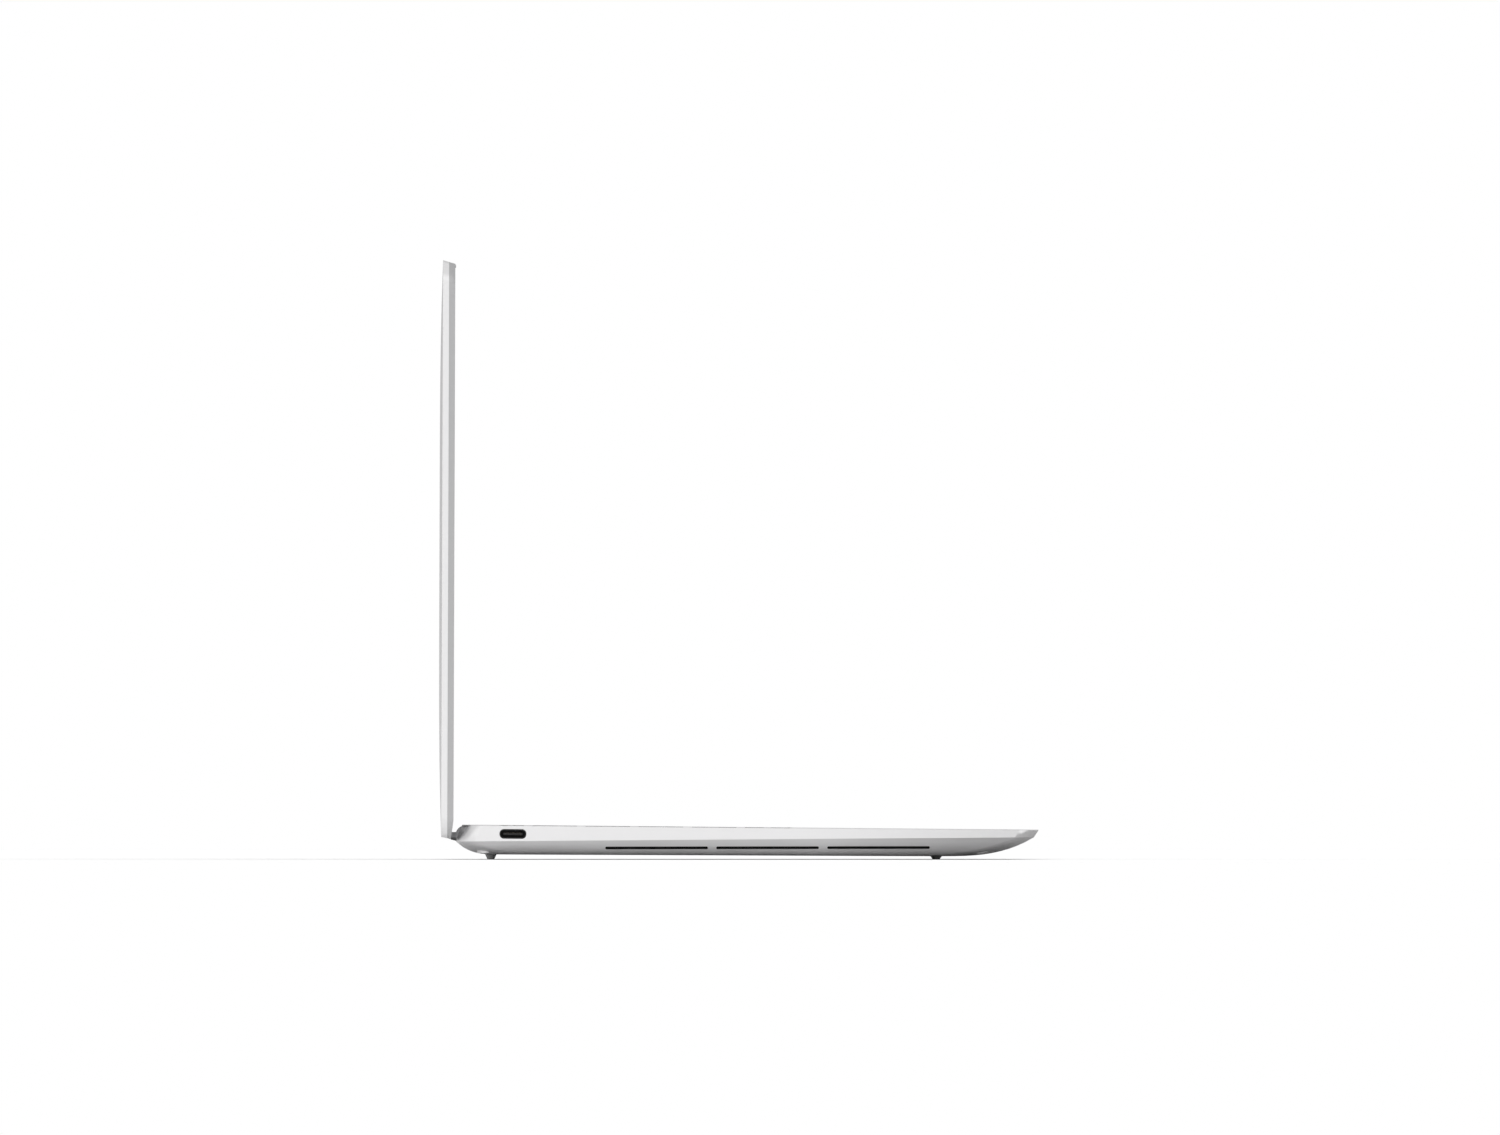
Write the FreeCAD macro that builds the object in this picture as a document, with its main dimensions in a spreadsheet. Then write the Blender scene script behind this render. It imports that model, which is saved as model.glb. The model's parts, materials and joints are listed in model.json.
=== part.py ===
import FreeCAD, Part
import math
import os
import re
import Sketcher

# A thin clamshell laptop, 13.4-inch class, with its lid open at a right angle.
# Millimetres. +X is the user's right, +Y points to the rear, +Z is up and the floor is Z = 0.
# Base pieces are drawn in the deck frame: its origin is the middle of the deck's rear edge, z = 0 on the deck.
# Lid pieces are drawn closed, in the hinge frame: its origin is the hinge axis, parallel to the deck.

SIZES = [
    # Base outline
    ("case_width", 295.4, "width of base and lid"),
    ("deck_depth", 197.4, "deck, front edge to rear edge"),
    ("corner_radius", 6.5, "corners of base and lid seen from above"),
    ("deck_tilt", 0.497, "degrees that the deck falls to the front"),
    ("deck_rear_y", 94.72, "deck's rear edge behind the origin"),
    ("deck_rear_height", 11.75, "deck's rear edge above the floor"),
    ("rear_flare", 2.05, "rear wall leans out from deck to crease"),
    ("front_undercut", 1.54, "front wall leans in from deck to crease"),
    ("crease_rear", 5.52, "crease below the deck at its rear edge"),
    ("crease_front", 2.38, "crease below the deck at its front edge"),
    ("belly_rear", 9.95, "belly below the deck at its rear edge"),
    ("belly_front", 9.04, "belly below the deck at its front edge"),
    ("front_run", 33.0, "length of the belly's rise to the front"),
    ("rear_run", 14.0, "length of the belly's rise to the rear"),
    ("side_run", 14.0, "width of the belly's rise to each side"),
    ("belly_corner", 14.0, "extra corner radius of the flat belly"),
    ("case_wall", 1.2, "side walls of the top case and rim of the base cover"),
    ("deck_wall", 1.2, "thickness of the deck"),
    ("belly_wall", 1.0, "floor of the base cover"),
    # Belly details
    ("slit_length", 35.1, "one long slot in the belly's flank"),
    ("slit_gap", 2.9, "bar between two slots"),
    ("slit_height", 0.9, "height of a slot"),
    ("slit_rear", 49.1, "first slot behind the deck's rear edge"),
    ("slit_share", 0.52, "slots' place between crease and belly"),
    ("intake_width", 2.0, "width of an intake slot"),
    ("intake_length", 12.0, "length of an intake slot"),
    ("intake_pitch", 5.0, "step from one intake slot to the next"),
    ("intake_rear", 46.0, "middle of the intake slots ahead of the deck's rear edge"),
    ("foot_length", 236.0, "length of a foot along the floor"),
    ("foot_bottom", 2.3, "width of a foot on the floor"),
    ("foot_top", 3.9, "width of a foot on the belly"),
    ("rear_foot_place", 9.9, "rear foot ahead of the deck's rear edge"),
    ("front_foot_place", 162.4, "front foot ahead of the deck's rear edge"),
    # Sockets
    ("port_place", 17.4, "middle of a socket ahead of the deck's rear edge"),
    ("port_drop", 2.8, "middle of a socket below the deck"),
    ("port_width", 9.2, "width of the opening in the wall"),
    ("port_height", 3.3, "height of the opening in the wall"),
    ("port_gap", 0.12, "room between a socket and the wall's opening"),
    ("port_recess", 0.8, "socket's mouth inside the wall's outer face"),
    ("port_length", 7.4, "length of a socket"),
    ("port_shell", 0.3, "sheet of a socket's shell"),
    ("tongue_width", 6.7, "width of a socket's tongue"),
    ("tongue_height", 0.7, "height of a socket's tongue"),
    ("tongue_recess", 1.0, "tongue's tip behind the socket's mouth"),
    ("socket_back", 1.2, "closed back of a socket"),
    # Keyboard
    ("key_pitch", 19.05, "step from key to key"),
    ("row_pitch", 18.2, "step from row to row"),
    ("function_pitch", 11.6, "depth of the function row"),
    ("keyboard_place", 11.0, "keyboard ahead of the deck's rear edge"),
    ("key_gap", 2.6, "gap between two caps"),
    ("half_key_gap", 2.2, "gap between two half-height caps"),
    ("window_gap", 0.4, "room round a cap in its window"),
    ("key_corner", 1.0, "corner radius of a cap"),
    ("key_taper", 8.0, "degrees that a cap's sides lean in"),
    ("key_sink", 0.1, "cap's top below the deck"),
    ("key_height", 1.5, "height of a cap"),
    ("key_travel", 1.0, "travel of a key"),
    ("key_floor_gap", 0.4, "room under a pressed cap"),
    ("lattice_sink", 0.8, "lattice's top below the deck"),
    ("lattice_flange", 0.4, "thickness of the lattice under the deck"),
    ("flange_width", 1.2, "lattice's flange under the deck"),
    ("bay_margin", 0.7, "bay's edge outside the outer caps"),
    ("seat_gap", 0.1, "room round a piece in its opening"),
    ("tray_rim", 0.5, "rim of the keyboard's backplate"),
    ("backplate_sheet", 0.3, "sheet of the keyboard's backplate"),
    # Touchpad
    ("pad_width", 112.0, "width of the touchpad"),
    ("pad_depth", 66.0, "depth of the touchpad"),
    ("pad_place", 120.6, "touchpad's rear edge ahead of the deck's rear edge"),
    ("pad_gap", 0.3, "gap round the touchpad"),
    ("pad_sheet", 1.0, "thickness of the touchpad"),
    ("pad_sink", 0.05, "touchpad's top below the deck"),
    ("pad_corner", 2.0, "corner radius of the touchpad"),
    ("pad_room", 0.7, "room under the touchpad"),
    ("bracket_sheet", 0.6, "sheet of the touchpad's bracket"),
    ("bracket_rim", 3.0, "rim of the touchpad's bracket"),
    # Inside of the base
    ("battery_width", 224.0, "width of the battery"),
    ("battery_depth", 42.0, "depth of the battery"),
    ("battery_height", 4.6, "height of the battery"),
    ("battery_gap", 1.2, "groove between two cells"),
    ("board_sheet", 0.8, "thickness of the mainboard"),
    ("board_half", 146.0, "half the mainboard's width at the sockets"),
    ("board_left", 110.0, "mainboard's left edge ahead of the sockets"),
    ("board_front", 62.0, "mainboard's front edge ahead of the deck's rear edge"),
    ("board_rear", 10.4, "mainboard's rear edge ahead of the deck's rear edge"),
    ("chip_height", 1.0, "height of the chips"),
    ("plate_sheet", 0.5, "copper plate on the processor"),
    ("pipe_height", 1.5, "height of the flat heat pipe"),
    ("pipe_width", 7.0, "width of the flat heat pipe"),
    ("fan_size", 54.0, "side of the fan's housing"),
    ("fan_height", 5.0, "height of the fan's housing"),
    ("fan_x", 76.0, "middle of the fan from the middle line"),
    ("fan_place", 46.0, "middle of the fan ahead of the deck's rear edge"),
    ("fan_inlet", 15.0, "radius of the fan's inlet"),
    ("rotor_radius", 22.0, "radius of the fan's blades"),
    ("hub_radius", 9.0, "radius of the fan's hub"),
    ("rotor_gap", 0.5, "room round the rotor"),
    ("fan_sheet", 0.6, "walls of the fan's housing"),
    ("fin_depth", 7.0, "depth of the fin stack"),
    ("fin_sheet", 0.4, "sheet of one fin"),
    ("fin_pitch", 2.0, "step from fin to fin"),
    ("fin_top", 3.6, "fin stack's top below the deck"),
    ("fan_corner", 4.0, "corner radius of the fan's housing"),
    ("axle_radius", 1.0, "fan's axle"),
    ("axle_length", 2.6, "length of the fan's axle"),
    ("blade_sweep", 6.0, "fan blade's tip behind its root"),
    ("blade_sheet", 0.8, "thickness of a fan blade"),
    ("spacer_radius", 2.0, "radius of a board's spacer"),
    ("spacer_edge", 6.0, "spacer's middle in from a board's edge"),
    ("side_board_front", 40.0, "side board's front edge ahead of the deck's rear edge"),
    ("chip_x", -12.0, "processor from the middle line"),
    ("chip_width", 28.0, "width of the processor"),
    ("chip_depth", 24.0, "depth of the processor"),
    ("memory_step", 30.0, "step from the processor to the memory"),
    ("memory_width", 12.0, "width of a memory chip"),
    ("memory_depth", 12.0, "depth of a memory chip"),
    ("plate_edge", 4.0, "copper plate outside the processor"),
    ("speaker_corner", 3.0, "corner radius of a speaker"),
    ("speaker_cone", 8.0, "radius of a speaker's cone"),
    ("speaker_recess", 1.0, "depth of a speaker's cone"),
    ("speaker_width", 20.0, "width of a speaker"),
    ("speaker_depth", 58.0, "depth of a speaker"),
    ("speaker_height", 4.4, "height of a speaker"),
    ("speaker_x", 127.0, "middle of a speaker from the middle line"),
    ("speaker_place", 84.0, "middle of a speaker ahead of the deck's rear edge"),
    # Cover screws
    ("screw_shaft", 0.9, "radius of a cover screw's shaft"),
    ("screw_head", 1.6, "radius of a cover screw's head"),
    ("screw_gap", 0.2, "room round a cover screw"),
    ("boss_radius", 2.4, "radius of a screw post"),
    ("boss_floor", 1.0, "boss between a screw's head and the post"),
    ("rear_boss_sink", 0.5, "rear bosses end above the belly"),
    ("front_boss_sink", 1.5, "front bosses end above the belly"),
    ("head_height", 0.9, "height of a cover screw's head"),
    ("screw_bite", 1.0, "length of a cover screw in its post"),
    ("screw_side", 138.0, "corner screws from the middle line"),
    ("screw_middle", 70.0, "inner screws from the middle line"),
    ("screw_rear", 7.5, "rear screws ahead of the deck's rear edge"),
    ("screw_front", 178.0, "front screws ahead of the deck's rear edge"),
    # Hinges
    ("hinge_inset", 0.96, "hinge axis ahead of the deck's rear edge"),
    ("hinge_drop", 3.49, "hinge axis below the deck"),
    ("lid_angle", 90.3, "degrees from deck to lid"),
    ("notch_radius", 3.95, "trough in the base round the hinge axis"),
    ("notch_half", 118.0, "half the trough's length"),
    ("barrel_radius", 3.2, "barrels round the hinge axis"),
    ("pin_radius", 1.5, "hinge pin"),
    ("pin_gap", 0.05, "running room of the hinge pin"),
    ("pin_start", 86.0, "hinge pin's inner end"),
    ("cover_half", 96.0, "half the hinge cover's length"),
    ("leaf_end", 102.0, "outer end of the leaf's barrel"),
    ("bracket_end", 116.0, "outer end of the bracket's barrel"),
    ("hinge_gap", 0.3, "room between two barrels"),
    ("web_front", 0.4, "hinge cover's web ahead of the axis"),
    ("arm_front", 1.0, "leaf's arm ahead of the axis"),
    ("arm_back", 0.7, "leaf's arm behind the axis"),
    ("arm_room", 0.25, "room round the leaf's arm"),
    ("leaf_sheet", 0.8, "plate of the leaf in the lid"),
    ("leaf_depth", 5.0, "depth of the leaf's plate"),
    ("leaf_outer", 128.0, "outer end of the leaf's plate"),
    ("mount_sheet", 1.0, "plate of the bracket under the deck"),
    ("mount_depth", 9.6, "bracket's front edge ahead of the deck's rear edge"),
    ("mount_outer", 133.0, "outer end of the bracket's plate"),
    ("hinge_screw", 0.8, "radius of a hinge screw's shaft"),
    ("hinge_screw_head", 1.5, "radius of a hinge screw's head"),
    ("hinge_screw_height", 0.6, "height of a hinge screw's head"),
    ("hinge_screw_bite", 0.7, "length of a hinge screw in the deck"),
    ("hinge_screw_first", 120.0, "inner hinge screw from the middle line"),
    ("hinge_screw_step", 9.0, "step to the outer hinge screw"),
    # Lid
    ("lid_gap", 3.95, "lid's inner face above the axis, closed"),
    ("frame_height", 2.1, "grey frame band on the lid's side"),
    ("cover_height", 2.1, "bright cover band on the lid's side"),
    ("crown_height", 0.9, "crown of the lid's back"),
    ("crown_run", 75.0, "width of the crown's fall to the edges"),
    ("crown_corner", 14.0, "extra corner radius of the crown's top"),
    ("lid_reach", 195.6, "lid's inner front edge ahead of the axis"),
    ("lid_front_slant", 1.2, "lid's front end leans out to the back"),
    ("lid_tail", 1.44, "lid's inner rear edge behind the axis"),
    ("lid_tail_slant", 0.93, "lid's rear end leans in to the back"),
    ("lid_wall", 1.2, "rim of the lid's back cover"),
    ("lid_ceiling", 1.0, "lid's back over the panel"),
    ("chin_start", 5.0, "frame's taper starts ahead of the axis"),
    ("chin_taper", 0.88, "frame's taper at its rear end"),
    ("lip_width", 1.5, "frame's lip round the bezel"),
    ("bezel_sink", 0.1, "bezel below the lip"),
    ("bezel_sheet", 0.5, "sheet of the bezel"),
    ("screen_width", 288.6, "lit area across"),
    ("screen_depth", 180.4, "lit area up"),
    ("screen_top", 6.0, "lit area below the lid's front edge"),
    ("panel_border", 0.7, "panel outside the lit area"),
    ("panel_sheet", 2.3, "thickness of the display panel"),
    ("camera_width", 42.0, "width of the camera's board"),
    ("camera_depth", 2.4, "depth of the camera's board"),
    ("camera_sheet", 1.4, "height of the camera's board"),
    ("lens_radius", 1.1, "camera's lens"),
    ("lens_gap", 0.1, "room round the camera's lens"),
    ("bumper_length", 270.0, "rubber lip on the frame"),
    ("bumper_width", 0.9, "width of the rubber lip"),
    ("bumper_height", 0.25, "height of the rubber lip"),
    ("cable_width", 14.0, "width of the display cable"),
    ("cable_sheet", 0.3, "thickness of the display cable"),
    ("cable_x", 40.0, "middle of the display cable from the middle line"),
]

FUNCTION_KEYS = 14
KEYBOARD_UNITS = 14.5
FAN_BLADES = 19
INTAKE_SLOTS = 12
BATTERY_CELLS = 4
# Shares of a run at which the swept faces have their sections; a face falls by one minus the cube of the rest.
RUN_SHARES = (0.0, 0.15, 0.35, 0.6, 1.0)

document = FreeCAD.newDocument("laptop")
sheet = document.addObject("Spreadsheet::Sheet", "sizes")
for line, (alias, size, meaning) in enumerate(SIZES, 1):
    sheet.set(f"A{line}", meaning)
    sheet.set(f"B{line}", str(size))
    sheet.setAlias(f"B{line}", alias)
document.recompute()
ALIASES = {alias for alias, _, _ in SIZES}
pieces = []


# Sizes and bindings

def linked(text):
    """A formula in plain size names, with each name pointed at its cell."""
    return re.sub(r"[a-z_]+", lambda word: "sizes." + word[0] if word[0] in ALIASES else word[0], str(text))


def value(text):
    """The number that a formula gives at the present sizes."""
    return float(sheet.evalExpression(linked(text)))


def bind(target, name, text):
    """Ties one property of an object to a formula."""
    target.setExpression(name, linked(text))


# Frames

DECK_SIN = "sin(deck_tilt)"
DECK_COS = "cos(deck_tilt)"
HINGE_Y = f"(deck_rear_y - hinge_inset * {DECK_COS} + hinge_drop * {DECK_SIN})"
HINGE_Z = f"(deck_rear_height - hinge_inset * {DECK_SIN} - hinge_drop * {DECK_COS})"


def piece(label, in_lid=False, kept=True):
    """A new body in the deck frame, or in the hinge frame for the lid; one that isn't kept only cuts others."""
    body = document.addObject("PartDesign::Body", label)
    body.Label = label
    body.Placement = FreeCAD.Placement(FreeCAD.Vector(), FreeCAD.Rotation(FreeCAD.Vector(1, 0, 0), 1))
    bind(body, "Placement.Base.y", HINGE_Y if in_lid else "deck_rear_y")
    bind(body, "Placement.Base.z", HINGE_Z if in_lid else "deck_rear_height")
    bind(body, "Placement.Rotation.Angle", "deck_tilt - lid_angle" if in_lid else "deck_tilt")
    if kept:
        pieces.append(body)
    return body


# Sketches

def new_sketch(body, plane, offset, turn_axis, turn):
    """An empty sketch on one of the body's planes, moved by three formulas and turned by one."""
    sketch = body.newObject("Sketcher::SketchObject", "sketch")
    support = [part for part in body.Origin.OriginFeatures if part.Role == plane + "_Plane"]
    sketch.AttachmentSupport = [(support[0], "")]
    sketch.MapMode = "FlatFace"
    rotation = FreeCAD.Rotation(turn_axis, 1)
    sketch.AttachmentOffset = FreeCAD.Placement(FreeCAD.Vector(), rotation)
    for name, text in zip("xyz", offset):
        bind(sketch, "AttachmentOffset.Base." + name, text)
    bind(sketch, "AttachmentOffset.Rotation.Angle", turn)
    return sketch


def dimension(sketch, name, constraint, text):
    """Adds one named dimension and ties it to a formula."""
    index = sketch.addConstraint(constraint)
    sketch.renameConstraint(index, name)
    bind(sketch, "Constraints." + name, text)


def rounded(body, west, east, south, north, corner, height="0", slope="0", plane="XY", origin=("0", "0")):
    """A rectangle with round corners. On XY the slope turns it about X, elsewhere in its own plane."""
    axis = FreeCAD.Vector(1, 0, 0) if plane == "XY" else FreeCAD.Vector(0, 0, 1)
    sketch = new_sketch(body, plane, (origin[0], origin[1], height), axis, slope)
    left, right, low, high, radius = (value(text) for text in (west, east, south, north, corner))
    corners = [(right, low, -1, 1), (right, high, -1, -1), (left, high, 1, -1), (left, low, 1, 1)]
    centres = [FreeCAD.Vector(x + dx * radius, y + dy * radius, 0) for x, y, dx, dy in corners]
    shapes = []
    for turn in range(4):
        heading = math.radians(90 * turn)
        outward = FreeCAD.Vector(math.sin(heading), -math.cos(heading), 0) * radius
        shapes.append(Part.LineSegment(centres[turn - 1] + outward, centres[turn] + outward))
        circle = Part.Circle(centres[turn], FreeCAD.Vector(0, 0, 1), radius)
        shapes.append(Part.ArcOfCircle(circle, heading - math.pi / 2, heading))
    sketch.addGeometry(shapes, False)
    for turn in range(4):
        side, arc, following = 2 * turn, 2 * turn + 1, (2 * turn + 2) % 8
        sketch.addConstraint(Sketcher.Constraint("Tangent", side, 2, arc, 1))
        sketch.addConstraint(Sketcher.Constraint("Tangent", arc, 2, following, 1))
        sketch.addConstraint(Sketcher.Constraint("Vertical" if turn % 2 else "Horizontal", side))
        if turn:
            sketch.addConstraint(Sketcher.Constraint("Equal", 1, arc))
    dimension(sketch, "south", Sketcher.Constraint("DistanceY", -1, 1, 0, 1, low), south)
    dimension(sketch, "east", Sketcher.Constraint("DistanceX", -1, 1, 2, 1, right), east)
    dimension(sketch, "north", Sketcher.Constraint("DistanceY", -1, 1, 4, 1, high), north)
    dimension(sketch, "west", Sketcher.Constraint("DistanceX", -1, 1, 6, 1, left), west)
    dimension(sketch, "corner", Sketcher.Constraint("Radius", 1, radius), corner)
    return sketch


def outline(body, points, height="0", plane="XY"):
    """A closed outline of straight sides through the given pairs of formulas."""
    sketch = new_sketch(body, plane, ("0", "0", height), FreeCAD.Vector(0, 0, 1), "0")
    places = [FreeCAD.Vector(value(x), value(y), 0) for x, y in points]
    count = len(places)
    sketch.addGeometry([Part.LineSegment(places[k], places[(k + 1) % count]) for k in range(count)], False)
    for k, (x, y) in enumerate(points):
        sketch.addConstraint(Sketcher.Constraint("Coincident", k, 2, (k + 1) % count, 1))
        dimension(sketch, f"x{k}", Sketcher.Constraint("DistanceX", -1, 1, k, 1, places[k].x), x)
        dimension(sketch, f"y{k}", Sketcher.Constraint("DistanceY", -1, 1, k, 1, places[k].y), y)
    return sketch


def rectangle(body, west, east, south, north, height="0", plane="XY"):
    """A plain rectangle between four formulas."""
    return outline(body, [(west, south), (east, south), (east, north), (west, north)], height, plane)


def circles(body, middles, radius, height="0", plane="XY"):
    """Circles of one radius at the given pairs of formulas."""
    sketch = new_sketch(body, plane, ("0", "0", height), FreeCAD.Vector(0, 0, 1), "0")
    for k, (x, y) in enumerate(middles):
        middle = FreeCAD.Vector(value(x), value(y), 0)
        sketch.addGeometry(Part.Circle(middle, FreeCAD.Vector(0, 0, 1), value(radius)), False)
        dimension(sketch, f"x{k}", Sketcher.Constraint("DistanceX", -1, 1, k, 3, middle.x), x)
        dimension(sketch, f"y{k}", Sketcher.Constraint("DistanceY", -1, 1, k, 3, middle.y), y)
        dimension(sketch, f"radius{k}", Sketcher.Constraint("Radius", k, value(radius)), radius)
    return sketch


# Features

def feature(body, kind, sketch):
    """A new feature on a sketch."""
    made = body.newObject("PartDesign::" + kind, kind.lower())
    made.Profile = sketch
    return made


def pad(body, sketch, length, downwards=False, taper="0"):
    """Material from the sketch along its normal, or against it."""
    made = feature(body, "Pad", sketch)
    made.Reversed = downwards
    bind(made, "Length", length)
    bind(made, "TaperAngle", taper)
    document.recompute()
    return made


def pocket(body, sketch, length, upwards=False):
    """A cut from the sketch against its normal, or along it; it has to take material away."""
    before = body.Shape.Volume
    made = feature(body, "Pocket", sketch)
    made.Reversed = upwards
    bind(made, "Length", length)
    document.recompute()
    if not body.Shape.Volume < before:
        raise RuntimeError(f"a cut in {body.Label} takes nothing away")
    return made


def loft(body, sketches, kind="AdditiveLoft", ruled=False):
    """A solid, or a hollow, through a row of sketches."""
    made = feature(body, kind, sketches[0])
    made.Sections = sketches[1:]
    made.Ruled = ruled
    document.recompute()
    return made


def row(body, original, sketch, count, step, axis="H_Axis"):
    """A straight row of a feature's copies."""
    made = body.newObject("PartDesign::LinearPattern", "row")
    made.Originals = [original]
    made.Direction = (sketch, [axis])
    made.Occurrences = count
    bind(made, "Length", f"({count - 1}) * ({step})")
    body.Tip = made
    document.recompute()
    return made


def ring(body, original, sketch, count):
    """A full circle of a feature's copies about the sketch's normal."""
    made = body.newObject("PartDesign::PolarPattern", "ring")
    made.Originals = [original]
    made.Axis = (sketch, ["N_Axis"])
    made.Angle = 360
    made.Occurrences = count
    body.Tip = made
    document.recompute()
    return made


def block(body, west, east, south, north, low, high):
    """A box between six formulas."""
    return pad(body, rectangle(body, west, east, south, north, low), f"({high}) - ({low})")


# Swept outlines of the base

HALF = "(case_width / 2)"


def depth_at(share, place, floor="0"):
    """How far below the deck the face between crease and belly lies, at a place ahead of the deck's rear edge."""
    rear = f"(crease_rear + {share} * (belly_rear - {floor} - crease_rear))"
    front = f"(crease_front + {share} * (belly_front - {floor} - crease_front))"
    return f"({rear} + ({front} - {rear}) * ({place}) / deck_depth)"


def slope_at(share, floor="0"):
    """The slope of that face in degrees."""
    return f"atan(({depth_at(share, 'deck_depth', floor)} - {depth_at(share, '0', floor)}) / deck_depth)"


def belly_section(body, share, inset="0", floor="0"):
    """One section of the base cover, at a share of the run in from the crease."""
    fall = 1 - (1 - share) ** 3
    side = f"({HALF} - {share} * side_run - {inset})"
    front = f"(front_undercut - deck_depth + {share} * front_run + {inset})"
    rear = f"(rear_flare - {share} * rear_run - {inset})"
    corner = f"(corner_radius + {share} * belly_corner - {inset})"
    low = f"-{depth_at(fall, '0', floor)}"
    return rounded(body, f"-{side}", side, front, rear, corner, low, slope_at(fall, floor))


def deck_section(body, inset="0", height="0"):
    """The deck's outline at a height above the deck."""
    side = f"({HALF} - {inset})"
    return rounded(body, f"-{side}", side, f"-deck_depth + {inset}", f"-({inset})",
                   f"corner_radius - {inset}", height)


def hinge_trough(body):
    """The trough that the hinge barrels turn in."""
    middle = [("-hinge_inset", "-hinge_drop")]
    pocket(body, circles(body, middle, "notch_radius", "notch_half", "YZ"), "2 * notch_half")


SCREW_ROWS = (("screw_rear", "rear_boss_sink"), ("screw_front", "front_boss_sink"))


def screw_places(along):
    """Four screws in a row across the base."""
    return [(f"{sign}{across}", f"-{along}") for across in ("screw_side", "screw_middle") for sign in ("", "-")]


def screw_level(along):
    """Height of the joint between a row's bosses and its posts."""
    return f"-{depth_at(0, along)}"


# Keyboard layout

KEYBOARD_WIDTH = f"({KEYBOARD_UNITS} * key_pitch)"
FUNCTION_STEP = f"({KEYBOARD_WIDTH} / {FUNCTION_KEYS + 1})"
KEYBOARD_DEPTH = "(function_pitch + 5 * row_pitch)"
# Node, row, place in key units from the left, width in key units and number of caps.
KEY_GROUPS = [
    ("number_keys", 1, 0, 1, 13),
    ("backspace_key", 1, 13, 1.5, 1),
    ("tab_key", 2, 0, 1.5, 1),
    ("upper_letter_keys", 2, 1.5, 1, 13),
    ("caps_lock_key", 3, 0, 1.75, 1),
    ("home_letter_keys", 3, 1.75, 1, 11),
    ("enter_key", 3, 12.75, 1.75, 1),
    ("left_shift_key", 4, 0, 2.25, 1),
    ("lower_letter_keys", 4, 2.25, 1, 10),
    ("right_shift_key", 4, 12.25, 2.25, 1),
    ("left_control_key", 5, 0, 1.25, 1),
    ("function_lock_key", 5, 1.25, 1, 1),
    ("left_system_key", 5, 2.25, 1, 1),
    ("left_option_key", 5, 3.25, 1, 1),
    ("space_bar", 5, 4.25, 5.25, 1),
    ("right_option_key", 5, 9.5, 1, 1),
    ("right_control_key", 5, 10.5, 1, 1),
]
HALF_KEYS = [
    ("page_keys", "rear", 11.5, 2, 2),
    ("up_arrow_key", "rear", 12.5, 1, 1),
    ("left_arrow_key", "front", 11.5, 1, 1),
    ("down_arrow_key", "front", 12.5, 1, 1),
    ("right_arrow_key", "front", 13.5, 1, 1),
]


def key_layout():
    """Every group of like caps: node, west, east, south, north, step and count."""
    groups = []
    west = f"(-{KEYBOARD_WIDTH} / 2 + key_gap / 2)"
    south = "(-keyboard_place - function_pitch + key_gap / 2)"
    north = "(-keyboard_place - key_gap / 2)"
    first_east = f"({west} + {FUNCTION_STEP} - key_gap)"
    shift = f"({FUNCTION_KEYS} * {FUNCTION_STEP})"
    groups.append(("function_keys", west, first_east, south, north, FUNCTION_STEP, FUNCTION_KEYS))
    groups.append(("power_button", f"({west} + {shift})", f"({first_east} + {shift})", south, north, "0", 1))
    for node, line, start, units, count in KEY_GROUPS:
        west = f"(-{KEYBOARD_WIDTH} / 2 + {start} * key_pitch + key_gap / 2)"
        east = f"({west} + {units} * key_pitch - key_gap)"
        north = f"(-keyboard_place - function_pitch - {line - 1} * row_pitch - key_gap / 2)"
        south = f"({north} - row_pitch + key_gap)"
        groups.append((node, west, east, south, north, "key_pitch", count))
    north = "(-keyboard_place - function_pitch - 4 * row_pitch - key_gap / 2)"
    south = f"({north} - row_pitch + key_gap)"
    half = "((row_pitch - key_gap - half_key_gap) / 2)"
    for node, place, start, step, count in HALF_KEYS:
        west = f"(-{KEYBOARD_WIDTH} / 2 + {start} * key_pitch + key_gap / 2)"
        east = f"({west} + key_pitch - key_gap)"
        low, high = (f"({north} - {half})", north) if place == "rear" else (south, f"({south} + {half})")
        groups.append((node, west, east, low, high, f"({step} * key_pitch)", count))
    return groups


KEY_LAYOUT = key_layout()
BAY_HALF = f"({KEYBOARD_WIDTH} / 2 - key_gap / 2 + bay_margin)"
BAY_REAR = "(-keyboard_place - key_gap / 2 + bay_margin)"
BAY_FRONT = f"(-keyboard_place - {KEYBOARD_DEPTH} + key_gap / 2 - bay_margin)"
KEY_FLOOR = "(-key_sink - key_height - key_travel - key_floor_gap)"
LATTICE_LOW = "(-deck_wall - lattice_flange)"
TRAY_LOW = f"({KEY_FLOOR} - backplate_sheet)"
PAD_REAR = "(-pad_place)"
PAD_FRONT = "(-pad_place - pad_depth)"


# Shells of the base

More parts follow.
